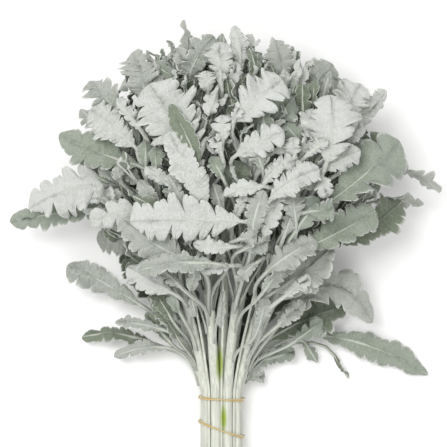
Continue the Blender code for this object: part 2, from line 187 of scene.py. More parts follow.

# Small leaves that show between the large ones, in the same form
# Leaves in the darkest felt are painted shade.
SMALL_LEAVES = (
    # Crown
    (3, 100, (-42, 160, 100), (-62, 175, 98), (0, 2, 3), 14, 10, 10, "spear", "sage"),
    (11, 110, (-32, 172, 98), (-39, 187, 102), (0, 0, 3), 16, -15, 20, "broad", "grey"),
    (3, 92, (-29, 147, 96), (-36, 162, 98), (0, 0, 3), 20, 0, 10, "broad", "painted_shade"),
    (3, 96, (-14, 150, 120), (-16, 167, 124), (0, 0, 3), 22, 0, 8, "cut", "pale"),
    (10, 96, (-7, 152, 124), (-14, 130, 130), (0, 0, 4), 14, 0, 30, "spear", "pale"),
    (10, 110, (-3, 156, 122), (-4, 168, 124), (0, 0, 2), 10, 0, 20, "strap", "pale"),
    (10, 104, (4, 147, 114), (1, 162, 116), (0, 0, 2), 13, 0, 20, "strap", "olive"),
    (10, 128, (24, 160, 102), (20, 187, 104), (2, 0, 3), 15, 20, 16, "cut", "olive"),
    (12, 96, (54, 143, 112), (30, 163, 112), (0, 3, 4), 22, 0, 18, "broad", "grey"),
    (12, 108, (49, 150, 98), (50, 170, 100), (0, 0, 2), 12, 20, 16, "strap", "pale"),
    (12, 116, (60, 150, 94), (67, 172, 96), (0, 0, 2), 12, -15, 16, "spear", "pale"),
    (1, 88, (65, 129, 110), (64, 158, 110), (0, 0, 3), 17, 20, 22, "broad", "olive"),
    (1, 98, (74, 140, 106), (74, 160, 106), (0, 0, 3), 13, -20, 20, "strap", "olive"),
    (1, 96, (103, 134, 88), (122, 137, 86), (0, 0, 2), 9, 0, 12, "spear", "grey"),
    # Middle of the head
    (2, 70, (36, 124, 116), (57, 145, 116), (0, 0, 4), 30, 0, 6, "broad", "sage"),
    (1, 52, (62, 109, 118), (49, 124, 120), (0, 0, 3), 20, 0, 6, "broad", "sage"),
    (1, 30, (80, 86, 116), (112, 102, 116), (0, 0, 4), 26, 0, 8, "cut", "pale"),
    (2, 44, (54, 94, 126), (57, 112, 130), (0, 0, 3), 16, 0, 14, "cut", "pale"),
    (1, 46, (67, 97, 126), (84, 110, 130), (0, 0, 3), 13, 0, 14, "cut", "pale"),
    (1, 20, (80, 80, 120), (84, 63, 118), (0, 0, 4), 20, 0, 6, "broad", "pale"),
    (2, 40, (31, 86, 128), (26, 100, 132), (0, 0, 3), 15, 0, 14, "cut", "grey"),
    (3, 56, (-2, 109, 132), (-3, 130, 136), (0, 0, 3), 18, 0, 10, "broad", "pale"),
    (2, 70, (7, 125, 138), (11, 136, 140), (0, 0, 2), 12, 0, 10, "broad", "pale"),
    (3, 50, (-3, 98, 132), (-9, 112, 134), (0, 0, 2), 13, 0, 10, "broad", "pale"),
    (2, 20, (-1, 77, 130), (-11, 96, 132), (0, 0, 3), 14, 0, 12, "cut", "sage"),
    (2, 8, (2, 67, 112), (14, 92, 116), (0, 0, 3), 26, 0, 8, "broad", "olive"),
    (2, 14, (32, 72, 128), (-1, 64, 132), (0, 2, 3), 15, 0, 14, "cut", "pale"),
    (2, -10, (32, 30, 122), (46, 66, 126), (0, 0, 4), 22, 0, 10, "cut", "pale"),
    (2, -14, (11, 28, 122), (26, 31, 124), (0, 0, 3), 16, 0, 10, "cut", "grey"),
    (1, 0, (59, 42, 116), (55, 69, 118), (0, 0, 3), 19, 0, 12, "cut", "grey"),
    (1, 2, (69, 51, 120), (90, 53, 122), (0, 0, 3), 22, 0, 6, "cut", "sage"),
    (1, 10, (60, 72, 112), (76, 80, 112), (0, 0, 3), 20, 0, 12, "broad", "grey"),
    (3, 30, (-22, 87, 138), (-45, 139, 136), (2, 0, 3), 19, 12, 6, "strap", "olive"),
    (2, 40, (36, 88, 124), (60, 95, 128), (0, 0, 3), 18, 0, 12, "cut", "pale"),
    (2, 46, (40, 100, 122), (58, 108, 124), (0, 0, 3), 15, 0, 14, "cut", "pale"),
    (1, 50, (62, 112, 120), (73, 136, 122), (0, 0, 3), 18, 0, 12, "cut", "pale"),
    (1, 60, (98, 108, 104), (114, 126, 102), (0, 0, 3), 18, 0, 12, "broad", "pale"),
    (10, 90, (6, 152, 116), (9, 175, 118), (0, 0, 3), 14, 0, 12, "cut", "pale"),
    (1, 4, (58, 34, 110), (78, 62, 112), (0, 0, 3), 24, 0, 8, "broad", "sage"),
    (1, 0, (46, 30, 108), (62, 56, 110), (0, 0, 3), 17, 0, 8, "broad", "painted_shade"),
    (2, -10, (14, 26, 114), (30, 46, 118), (0, 0, 3), 13, 0, 8, "strap", "painted_shade"),
    (3, 16, (-34, 56, 126), (-46, 82, 126), (0, 0, 3), 17, 0, 12, "cut", "pale"),
    (2, 10, (-2, 50, 122), (-10, 74, 124), (0, 0, 3), 16, 0, 12, "cut", "grey"),
    (2, 0, (8, 45, 120), (16, 66, 124), (0, 0, 3), 14, 0, 12, "cut", "pale"),
    (2, 40, (32, 74, 122), (46, 92, 124), (0, 0, 3), 14, 0, 12, "cut", "pale"),
    (1, 44, (62, 97, 120), (72, 118, 122), (0, 0, 3), 15, 0, 12, "cut", "pale"),
    (1, -4, (48, 28, 114), (56, 50, 118), (0, 0, 3), 14, 0, 12, "cut", "grey"),
    (2, -20, (16, 20, 116), (34, 26, 118), (0, 0, 3), 16, 0, 12, "cut", "grey"),
    (2, -16, (6, 22, 118), (-26, 25, 120), (0, -2, 3), 18, 0, 10, "cut", "pale"),
    # Left of the head
    (4, 40, (-66, 89, 110), (-66, 110, 112), (0, 0, 3), 14, 0, 12, "strap", "sage"),
    (4, 34, (-56, 81, 114), (-58, 105, 118), (0, 0, 3), 16, 0, 12, "strap", "sage"),
    (4, 26, (-44, 72, 118), (-66, 88, 120), (0, 0, 3), 15, 0, 10, "cut", "pale"),
    (4, 10, (-56, 52, 110), (-71, 77, 112), (0, 0, 4), 17, 0, 26, "strap", "grey"),
    (5, 26, (-90, 78, 68), (-123, 90, 68), (0, 2, 3), 26, 0, 8, "cut", "sage"),
    (5, -12, (-58, 19, 56), (-86, 39, 54), (0, 0, 3), 26, 0, 8, "cut", "grey"),
    (5, -22, (-51, 9, 48), (-76, 14, 44), (0, 0, 3), 24, 0, 8, "cut", "olive"),
    (5, -4, (-64, 34, 62), (-92, 52, 60), (0, 0, 3), 24, 0, 8, "cut", "grey"),
    (4, 6, (-52, 51, 112), (-76, 64, 110), (0, 0, 3), 13, 0, 10, "spear", "olive"),
    (5, 24, (-82, 68, 84), (-112, 62, 78), (0, 0, 3), 17, 0, 10, "cut", "pale"),
    (4, 60, (-70, 119, 108), (-90, 145, 101), (0, 0, 3), 17, 0, 12, "cut", "pale"),
    (5, 20, (-68, 74, 92), (-91, 88, 86), (0, 0, 3), 15, 0, 12, "cut", "grey"),
    (5, -40, (-60, -20, 46), (-86, 10, 42), (0, 0, 4), 23, 0, 10, "cut", "painted_shade"),
    (3, -44, (-36, -13, 98), (-54, 5, 96), (0, 0, 3), 15, 0, 12, "cut", "grey"),
    (5, -30, (-56, -16, 60), (-82, 8, 56), (0, 0, 4), 20, 0, 10, "cut", "olive"),
    (11, 100, (-52, 150, 98), (-59, 177, 96), (0, 0, 2), 10, 10, 12, "spear", "grey"),
    (12, 100, (56, 150, 98), (62, 178, 100), (0, 0, 2), 9, 10, 12, "spear", "pale"),
    (1, 100, (80, 142, 98), (88, 168, 96), (0, 0, 2), 9, 10, 12, "spear", "grey"),
    # Below the head
    (5, -84, (-40, -58, 50), (-58, -28, 52), (0, 0, 4), 15, 20, 12, "cut", "olive"),
    (6, -86, (-46, -62, 34), (-68, -36, 36), (0, 0, 3), 15, 0, 10, "cut", "olive"),
    (5, -80, (-52, -50, 46), (-94, -44, 32), (0, 2, 3), 14, 10, 8, "cut", "grey"),
    (1, -80, (44, -46, 62), (68, -26, 62), (0, 0, 3), 17, 0, 10, "cut", "grey"),
    (9, -86, (60, -60, 30), (84, -42, 26), (0, 0, 3), 18, 0, 8, "broad", "sage"),
    (3, -40, (-24, 9, 108), (-28, -14, 100), (0, 0, 3), 14, 0, 8, "broad", "grey"),
    (2, -34, (4, 6, 116), (-21, 2, 116), (0, 0, 3), 13, 0, 8, "cut", "pale"),
    (2, -32, (27, 9, 112), (9, -6, 110), (0, 0, 3), 15, 0, 8, "cut", "grey"),
    (3, -52, (-29, -19, 84), (-25, -37, 78), (0, 0, 3), 11, 0, 8, "broad", "grey"),
    (1, -66, (46, -24, 70), (82, 8, 66), (0, 0, 4), 28, 0, 8, "broad", "grey"),
    (1, -82, (30, -47, 58), (31, -25, 60), (0, 0, 3), 16, 0, 10, "broad", "grey"),
    (5, -84, (-45, -49, 48), (-64, -12, 46), (0, 0, 4), 18, 0, 14, "cut", "olive"),
    # Among the stems
    (3, -60, (-1, -22, 88), (-4, -46, 82), (0, 0, 3), 10, 0, 10, "spear", "grey"),
    (2, -50, (32, -16, 96), (50, 10, 98), (0, 0, 4), 20, 10, 14, "cut", "grey"),
    (1, -46, (44, -6, 90), (62, 18, 92), (0, 0, 3), 20, 0, 12, "cut", "grey"),
    (2, -76, (27, -50, 72), (35, -22, 78), (0, 0, 3), 14, 0, 12, "cut", "grey"),
    (1, -62, (50, -20, 84), (72, -4, 82), (0, 0, 3), 16, -10, 12, "cut", "pale"),
    (5, -74, (-44, -42, 60), (-62, -12, 62), (0, 0, 4), 18, 0, 12, "cut", "olive"),
    (4, -66, (-38, -34, 74), (-50, -10, 78), (0, 0, 3), 13, 0, 12, "spear", "sage"),
    # Behind the stems: dark leaves put there as painted shade, so that the gaps between the stems look dark
    (7, -84, (-4, -66, 19), (-6, -14, 19), (0, 0, 0), 30, 0, 0, "broad", "painted_shade"),
    (8, -86, (14, -66, 19), (30, -14, 19), (0, 0, 0), 32, 0, 0, "broad", "painted_shade"),
    (6, -84, (-24, -62, 20), (-40, -8, 20), (0, 0, 0), 30, 0, 0, "broad", "painted_shade"),
    (8, -70, (34, -46, 20), (56, 4, 20), (0, 0, 0), 34, 0, 0, "broad", "painted_shade"),
    # Beside the tie
    (9, -94, (68, -61, 16), (80, -79, 8), (0, 0, 2), 13, 0, 6, "broad", "sage"),
    (9, -96, (96, -74, 10), (107, -93, 4), (0, 0, 2), 6, 30, 10, "spear", "olive"),
    (8, -95, (23, -80, 14), (60, -70, 10), (0, 0, 3), 18, 0, 8, "cut", "sage"),
    (8, -98, (22, -93, 14), (34, -91, 10), (0, 0, 2), 12, 0, 8, "broad", "grey"),
    (5, -90, (-50, -66, 24), (-96, -74, 14), (0, 3, 2), 16, 10, 10, "cut", "grey"),
)

# The head as a rounded mass, which the filling leaves keep within
HEAD_MIDDLE = Vector((3.0, 94.0, 66.0)) * MM
HEAD_HALF_SIZE = Vector((126.0, 104.0, 70.0)) * MM
HEAD_FRONT_Y = 4.0 * MM

# Layers of filling leaves, each with the depth under the head's skin from and to, the shortest
# and longest blade in millimetres, how much they lean about, how far out they may reach, where 1 is
# the head's outline, and their felts. The deeper layers take darker felts, as painted shade inside
# the head.
FILLING_LAYERS = (
    (18, 50, 34, 50, 0.35, 0.93, ("painted_shade", "painted_shade", "olive")),
    (4, 24, 24, 42, 0.45, 1.04, ("pale", "grey", "sage", "olive")),
    (0, 10, 12, 26, 0.70, 1.09, ("pale", "pale", "pale", "grey")),
    (-2, 7, 9, 18, 0.80, 1.09, ("pale", "pale", "grey")),
)

# How far above a leaf its sight line starts, and the most of it that filling leaves may hide
UP = Vector((0.0, 0.0, 1.0))
LIFT_OFF = UP * 2.0 * MM
MOST_HIDDEN = 0.35

# Fewer crossing faces than this are two leaves that rest on each other
CONTACT_FACES = 6

# Thickness of a small leaf, as a share of a large one's
SMALL_LEAF_THICKNESS = 0.8

# Small changes that the frame may have made to a leaf
LIFTS = (0, 5, -5, 10, -10, 16, -16, 23, -23, 31)
TURNS = (0, 35, -35, 70, -70, 110, -110)
SLIDES = (0, 8, -8, 16, -16)
TILTS = (0, 14, -14)

# Fineness of a leaf: rows along its petiole and along each lobe, scallops that end a lobe, and the
# shares of the way from the rib to the edge. Without a share of 0 it has no raised rib.
GRIDS = {
    "large": (8, 16, 2, (0.0, 0.35, 0.7, 1.0)),
    "small": (7, 10, 2, (0.0, 0.5, 1.0)),
    "filling": (2, 6, 1, (0.6, 1.0)),
}
LOBE_SPACING_POWER = 1.087
SCALLOP_DEPTH = 0.10


def linear(code):
    """An sRGB hex colour as linear red, green and blue."""
    parts = (int(code[i : i + 2], 16) / 255 for i in (1, 3, 5))
    return tuple(p / 12.92 if p <= 0.04045 else ((p + 0.055) / 1.055) ** 2.4 for p in parts)


class LeafSettings(bpy.types.PropertyGroup):
    """Sizes of the leaves."""

    thickness: bpy.props.FloatProperty(
        name="Thickness",
        description="Thickness of a leaf along its midrib",
        default=2.0 * MM,
        unit="LENGTH",
    )
    ruffle: bpy.props.FloatProperty(
        name="Ruffle",
        description="How strongly the lobes curl, where 1 is as photographed",
        default=1.0,
        min=0.0,
        max=2.0,
    )
    small_leaves: bpy.props.IntProperty(
        name="Small leaves",
        description="Places in the head that are tried for a small leaf",
        default=9000,
        min=0,
    )


class FeltColours(bpy.types.PropertyGroup):
    """Colours of the leaves, stems and bands."""

    pale: bpy.props.FloatVectorProperty(
        name="Pale felt",
        description="Leaf face with the thickest white wool",
        subtype="COLOR",
        default=linear("#B6B8B4"),
    )
    grey: bpy.props.FloatVectorProperty(
        name="Grey felt",
        description="Leaf face with thinner wool",
        subtype="COLOR",
        default=linear("#9DA099"),
    )
    sage: bpy.props.FloatVectorProperty(
        name="Sage felt",
        description="Upper face of an older leaf, green under its wool",
        subtype="COLOR",
        default=linear("#8A9186"),
    )
    olive: bpy.props.FloatVectorProperty(
        name="Olive felt",
        description="Shaded leaf with little wool",
        subtype="COLOR",
        default=linear("#727A6A"),
    )
    # Painted shade: leaves in this dark green felt stand for the shade deep in the head and behind the stems.
    painted_shade: bpy.props.FloatVectorProperty(
        name="Deep felt",
        description="Old leaf deep in the head, dark green with hardly any wool",
        subtype="COLOR",
        default=linear("#474E3F"),
    )
    stem: bpy.props.FloatVectorProperty(
        name="Stem felt",
        description="Cream-white wool on the stems",
        subtype="COLOR",
        default=linear("#CBCEC2"),
    )
    bare_green: bpy.props.FloatVectorProperty(
        name="Bare green",
        description="Green skin where the wool is rubbed off a stem",
        subtype="COLOR",
        default=linear("#8FA23C"),
    )
    rubber: bpy.props.FloatVectorProperty(
        name="Rubber",
        description="Tan natural rubber of the bands",
        subtype="COLOR",
        default=linear("#CDB47C"),
    )


class StageSettings(bpy.types.PropertyGroup):
    """Floor, light and camera."""

    camera_height: bpy.props.FloatProperty(
        name="Camera height",
        description="Height of the camera above the floor",
        default=2.4,
        unit="LENGTH",
    )
    floor_size: bpy.props.FloatProperty(
        name="Floor size",
        description="Width of the square floor",
        default=24.0,
        unit="LENGTH",
    )
    key_power: bpy.props.FloatProperty(
        name="Key light",
        description="Power of the soft light beyond the crown",
        default=42.0,
        unit="POWER",
    )
    sky: bpy.props.FloatProperty(
        name="Room light",
        description="Strength of the white room light",
        default=0.68,
        min=0.0,
    )


def add_node(tree, kind, inputs=None, **settings):
    """A shader node with its settings, and its inputs as plain values or linked outputs."""
    made = tree.nodes.new(kind)
    for key, value in settings.items():
        setattr(made, key, value)
    for key, value in (inputs or {}).items():
        if isinstance(value, bpy.types.NodeSocket):
            tree.links.new(value, made.inputs[key])
        else:
            made.inputs[key].default_value = value
    return made


def new_material(name, roughness, sheen):
    """A non-metal surface, its node tree and its shader."""
    material = bpy.data.materials.new(name)
    material.use_nodes = True
    tree = material.node_tree
    shader = tree.nodes["Principled BSDF"]
    shader.inputs["Roughness"].default_value = roughness
    shader.inputs["IOR"].default_value = 1.4
    shader.inputs["Sheen Weight"].default_value = sheen
    shader.inputs["Sheen Roughness"].default_value = 0.5
    return material, tree, shader


def tone(colour, share):
    """The colour made lighter or darker, with full opacity."""
    return (*(min(1.0, part * share) for part in colour), 1.0)


def leaf_felt(name, colour, thin):
    """Woolly leaf skin: matte felt over green, with a white rim and a pale midrib.

    The white rim is partly whiter wool at the edge and partly a painted highlight.

    The eye sees a dry silver surface without gloss. The wool is uneven in patches 25 mm wide, and
    its tufts, 0.3 mm in the plant, are drawn 1.4 mm wide so that they show. The blade puckers
    between its veins in swells about 7 mm wide.
    """
    material, tree, shader = new_material(name, 0.95, 0.3)
    place = add_node(tree, "ShaderNodeTexCoord").outputs["Object"]
    blade = add_node(tree, "ShaderNodeUVMap", uv_map="blade").outputs["UV"]
    split = add_node(tree, "ShaderNodeSeparateXYZ", {"Vector": blade})
    phase, across = split.outputs["X"], split.outputs["Y"]
    patches = add_node(tree, "ShaderNodeTexNoise", {"Vector": place, "Scale": 40.0, "Detail": 3.0})
    tufts = add_node(tree, "ShaderNodeTexNoise", {"Vector": place, "Scale": 700.0, "Detail": 2.0})
    swells = add_node(tree, "ShaderNodeTexNoise", {"Vector": place, "Scale": 150.0, "Detail": 1.0})
    wear = add_node(tree, "ShaderNodeAttribute", attribute_name="wear")
    worn = add_node(
        tree, "ShaderNodeMath", {0: patches.outputs["Fac"], 1: wear.outputs["Fac"]}, operation="ADD"
    )
    thinness = add_node(
        tree,
        "ShaderNodeMapRange",
        {"Value": worn.outputs[0], "From Min": 0.5, "From Max": 1.1},
        interpolation_type="SMOOTHSTEP",
    )
    base = add_node(
        tree,
        "ShaderNodeMix",
        {0: thinness.outputs[0], 6: tone(colour, 1.0), 7: tone(thin, 1.0)},
        data_type="RGBA",
    )
    grain = add_node(
        tree, "ShaderNodeMapRange", {"Value": tufts.outputs["Fac"], "From Min": 0.35, "From Max": 0.7}
    )
    grained = add_node(
        tree,
        "ShaderNodeMix",
        {0: grain.outputs[0], 6: base.outputs[2], 7: tone(colour, 1.16)},
        data_type="RGBA",
    )
    turn = add_node(tree, "ShaderNodeMath", {0: phase, 1: 2 * math.pi}, operation="MULTIPLY")
    wave = add_node(tree, "ShaderNodeMath", {0: turn.outputs[0]}, operation="COSINE")
    line = add_node(
        tree,
        "ShaderNodeMapRange",
        {"Value": wave.outputs[0], "From Min": -0.88, "From Max": -1.0},
        interpolation_type="SMOOTHSTEP",
    )
    inner = add_node(
        tree, "ShaderNodeMapRange", {"Value": across, "From Min": 0.9, "From Max": 0.3, "To Max": 0.7}
    )
    veins = add_node(
        tree, "ShaderNodeMath", {0: line.outputs[0], 1: inner.outputs[0]}, operation="MULTIPLY"
    )
    veined = add_node(
        tree,
        "ShaderNodeMix",
        {0: veins.outputs[0], 6: grained.outputs[2], 7: tone(colour, 1.14)},
        data_type="RGBA",
    )
    rib = add_node(
        tree,
        "ShaderNodeMapRange",
        {"Value": across, "From Min": 0.22, "From Max": 0.08, "To Max": 0.85},
        interpolation_type="SMOOTHSTEP",
    )
    ribbed = add_node(
        tree,
        "ShaderNodeMix",
        {0: rib.outputs[0], 6: veined.outputs[2], 7: tone(linear("#BEC1B7"), 1.0)},
        data_type="RGBA",
    )
    # White rim: partly whiter wool at the edge, partly a painted highlight along it.
    rim = add_node(
        tree, "ShaderNodeMapRange", {"Value": across, "From Min": 0.88, "From Max": 1.0, "To Max": 0.8}
    )
    rimmed = add_node(
        tree,
        "ShaderNodeMix",
        {0: rim.outputs[0], 6: ribbed.outputs[2], 7: tone(linear("#CCCEC7"), 1.0)},
        data_type="RGBA",
    )
    tree.links.new(rimmed.outputs[2], shader.inputs["Base Color"])
    soft = add_node(
        tree,
        "ShaderNodeBump",
        {"Height": swells.outputs["Fac"], "Distance": 3.0 * MM, "Strength": 0.7},
    )
    relief = add_node(
        tree, "ShaderNodeMath", {0: tufts.outputs["Fac"], 1: veins.outputs[0]}, operation="ADD"
    )
    bump = add_node(
        tree,
        "ShaderNodeBump",
        {
            "Height": relief.outputs[0],
            "Distance": 0.4 * MM,
            "Strength": 0.6,
            "Normal": soft.outputs["Normal"],
        },
    )
    tree.links.new(bump.outputs["Normal"], shader.inputs["Normal"])
    return material


def stem_felt(colours):
    """Woolly stem skin: cream-white felt in long streaks, with rubbed green places.

    The eye sees soft pale rods with faint length-wise lines about 1 mm apart.
    """
    material, tree, shader = new_material("woolly_stem_felt", 0.92, 0.3)
    place = add_node(tree, "ShaderNodeTexCoord").outputs["Object"]
    drawn_out = add_node(tree, "ShaderNodeMapping", {"Vector": place, "Scale": (1.0, 0.05, 1.0)})
    streaks = add_node(
        tree,
        "ShaderNodeTexNoise",
        {"Vector": drawn_out.outputs["Vector"], "Scale": 700.0, "Detail": 2.0},
    )
    tufts = add_node(tree, "ShaderNodeTexNoise", {"Vector": place, "Scale": 900.0, "Detail": 2.0})
    grain = add_node(
        tree, "ShaderNodeMapRange", {"Value": streaks.outputs["Fac"], "From Min": 0.35, "From Max": 0.7}
    )
    wool = add_node(
        tree,
        "ShaderNodeMix",
        {0: grain.outputs[0], 6: tone(colours.stem, 0.78), 7: tone(colours.stem, 1.1)},
        data_type="RGBA",
    )
    rubbed = add_node(tree, "ShaderNodeAttribute", attribute_name="rubbed")
    bare = add_node(
        tree,
        "ShaderNodeMapRange",
        {"Value": rubbed.outputs["Fac"], "From Min": 0.2, "From Max": 0.8},
        interpolation_type="SMOOTHSTEP",
    )
    skin = add_node(
        tree,
        "ShaderNodeMix",
        {0: bare.outputs[0], 6: wool.outputs[2], 7: tone(colours.bare_green, 1.0)},
        data_type="RGBA",
    )
    tree.links.new(skin.outputs[2], shader.inputs["Base Color"])
    bump = add_node(
        tree,
        "ShaderNodeBump",
        {"Height": tufts.outputs["Fac"], "Distance": 0.3 * MM, "Strength": 0.5},
    )
    tree.links.new(bump.outputs["Normal"], shader.inputs["Normal"])
    return material


def cut_pith(colours):
    """Sliced stem end: a moist green ring around a pale spongy pith, by distance from the middle."""
    material, tree, shader = new_material("cut_stem_pith", 0.55, 0.0)
    place = add_node(tree, "ShaderNodeTexCoord").outputs["Object"]
    cells = add_node(tree, "ShaderNodeTexVoronoi", {"Vector": place, "Scale": 1400.0})
    pith = add_node(
        tree,
        "ShaderNodeMix",
        {0: cells.outputs["Distance"], 6: tone(linear("#C9D0A6"), 1.0), 7: tone(linear("#DDE0C4"), 1.0)},
        data_type="RGBA",
    )
    edge = add_node(tree, "ShaderNodeAttribute", attribute_name="rubbed")
    ring = add_node(
        tree,
        "ShaderNodeMapRange",
        {"Value": edge.outputs["Fac"], "From Min": 0.35, "From Max": 0.9},
        interpolation_type="SMOOTHSTEP",
    )
    cut = add_node(
        tree,
        "ShaderNodeMix",
        {0: ring.outputs[0], 6: pith.outputs[2], 7: tone(colours.bare_green, 0.9)},
        data_type="RGBA",
    )
    tree.links.new(cut.outputs[2], shader.inputs["Base Color"])
    return material


def band_rubber(colours):
    """Natural rubber band, cut from thin tube: tan, slightly glossy, with fine dusty streaks."""
    material, tree, shader = new_material("natural_rubber", 0.5, 0.0)
    shader.inputs["IOR"].default_value = 1.52
    place = add_node(tree, "ShaderNodeTexCoord").outputs["Object"]
    dust = add_node(tree, "ShaderNodeTexNoise", {"Vector": place, "Scale": 260.0, "Detail": 3.0})
    colour = add_node(
        tree,
        "ShaderNodeMix",
        {0: dust.outputs["Fac"], 6: tone(colours.rubber, 0.72), 7: tone(colours.rubber, 1.2)},
        data_type="RGBA",
    )
    tree.links.new(colour.outputs[2], shader.inputs["Base Color"])
    bump = add_node(
        tree, "ShaderNodeBump", {"Height": dust.outputs["Fac"], "Distance": 0.1 * MM, "Strength": 0.4}
    )
    tree.links.new(bump.outputs["Normal"], shader.inputs["Normal"])
    return material


def matte_paper():
    """White studio paper, matte, with a grain too fine to see except as evenness."""
    material, tree, shader = new_material("matte_studio_paper", 0.9, 0.0)
    place = add_node(tree, "ShaderNodeTexCoord").outputs["Object"]
    grain = add_node(tree, "ShaderNodeTexNoise", {"Vector": place, "Scale": 500.0})
    colour = add_node(
        tree,
        "ShaderNodeMix",
        {0: grain.outputs["Fac"], 6: tone(linear("#F6F6F5"), 1.0), 7: tone(linear("#F9F9F8"), 1.0)},
        data_type="RGBA",
    )
    tree.links.new(colour.outputs[2], shader.inputs["Base Color"])
    return material


def select_only(*objects):
    """Select these objects, with the last one active."""
    bpy.ops.object.select_all(action="DESELECT")
    for obj in objects:
        obj.select_set(True)
        bpy.context.view_layer.objects.active = obj


def finish_piece(obj, slot, *nodes):
    """Hang a finished piece on the frame in place of its nodes."""
    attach(obj, "root")
    if nodes:
        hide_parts(*nodes)


def millimetres(values):
    """A point given in millimetres, in metres."""
    return Vector(values) * MM


class Stem:
    """One cut stem: straight and parallel in the tie, then fanning out to its tip."""

    def __init__(self, name, row, ring):
        angle, radius, shorter, *tip = row
        self.name = name
        self.radius = radius * MM
        turn = math.radians(angle)
        self.tie_x = AXIS_X + ring * math.cos(turn)
        self.tie_z = AXIS_Z + ring * math.sin(turn)
        self.start_y = CUT_END_Y + shorter * MM
        self.tip = millimetres(tip)

    def centre(self, y):
        """Centre of the stem at this Y."""
        spread = max(0.0, (y - FAN_START_Y) / (self.tip.y - FAN_START_Y)) ** FAN_POWER
        x = self.tie_x + (self.tip.x - self.tie_x) * spread
        z = self.tie_z + (self.tip.z - self.tie_z) * spread
        return Vector((x, y, z))

    def direction(self, y):
        """Way the stem grows at this Y."""
        step = 1.0 * MM
        return (self.centre(y + step) - self.centre(y - step)).normalized()

    def radius_at(self, y):
        """Radius at this Y: full in the tie, thinner to the tip."""
        share = max(0.0, (y - FAN_START_Y) / (self.tip.y - FAN_START_Y))
        return self.radius * (1 - (1 - STEM_TIP_SHARE) * min(1.0, share))


class Stalk(Stem):
    """A thin stalk in the groove between two stems, which fans out with them."""

    def __init__(self, name, left, right, end_y):
        self.name = name
        self.pair = (left, right)
        self.start_y = max(left.start_y, right.start_y) + 2 * MM
        groove = Vector(((left.tie_x + right.tie_x) / 2 - AXIS_X, 0, (left.tie_z + right.tie_z) / 2 - AXIS_Z))
        self.nest = groove.normalized() * (STALK_RING - groove.length)
        self.tip = self.centre(end_y * MM)

    def centre(self, y):
        """Centre of the stalk at this Y."""
        left, right = self.pair
        return (left.centre(y) + right.centre(y)) / 2 + self.nest

    def radius_at(self, y):
        """Radius at this Y."""
        return STALK_RADIUS


def all_stems():
    """Stems by number, the outer ring first."""
    outer = [
        Stem(f"stem_{n:02d}", row, BUNDLE_RADIUS - row[1] * MM)
        for n, row in enumerate(OUTER_STEMS, 1)
    ]
    inner = [
        Stem(f"stem_{n:02d}", row, INNER_RING)
        for n, row in enumerate(INNER_STEMS, len(OUTER_STEMS) + 1)
    ]
    return {n: stem for n, stem in enumerate(outer + inner, 1)}


def rounded_tube(name, sides, rings):
    """A capped cylinder one unit long with rings of edges along it."""
    bpy.ops.object.select_all(action="DESELECT")
    bpy.ops.mesh.primitive_cylinder_add(
        vertices=sides, radius=1.0, depth=1.0, end_fill_type="TRIFAN"
    )
    obj = bpy.context.object
    obj.name = obj.data.name = name
    bpy.ops.object.mode_set(mode="EDIT")
    bpy.ops.mesh.select_mode(type="EDGE")
    bpy.ops.mesh.select_all(action="DESELECT")
    bpy.ops.object.mode_set(mode="OBJECT")
    points = obj.data.vertices
    for edge in obj.data.edges:
        low, high = (points[i].co for i in edge.vertices)
        edge.select = abs(low.z - high.z) > 0.5
    bpy.ops.object.mode_set(mode="EDIT")
    bpy.ops.mesh.subdivide(number_cuts=rings)
    bpy.ops.object.mode_set(mode="OBJECT")
    return obj


# Rubbed places: X and Y of the middle with the width, and the length
RUBBED = (
    (Vector((-4.6 * MM, -78.0 * MM, 5.6 * MM)), 26.0 * MM),
    (Vector((-1.2 * MM, -126.0 * MM, 4.8 * MM)), 20.0 * MM),
)


def bumps_at(y, scars):
    """How far the leaf scars swell the stem at this Y, as a share of its radius."""
    return sum(0.16 * math.exp(-(((y - scar) / (2.2 * MM)) ** 2)) for scar in scars)


def rubbed_share(point, y):
    """How bare the skin is: two places on the camera side where the wool is rubbed off."""
    share = 0.0
    for place, length in RUBBED:
        off = Vector((point.x - place.x, (y - place.y) * place.z / length)).length
        share = max(share, 1.0 - off / place.z)
    return share if point.z > AXIS_Z else 0.0


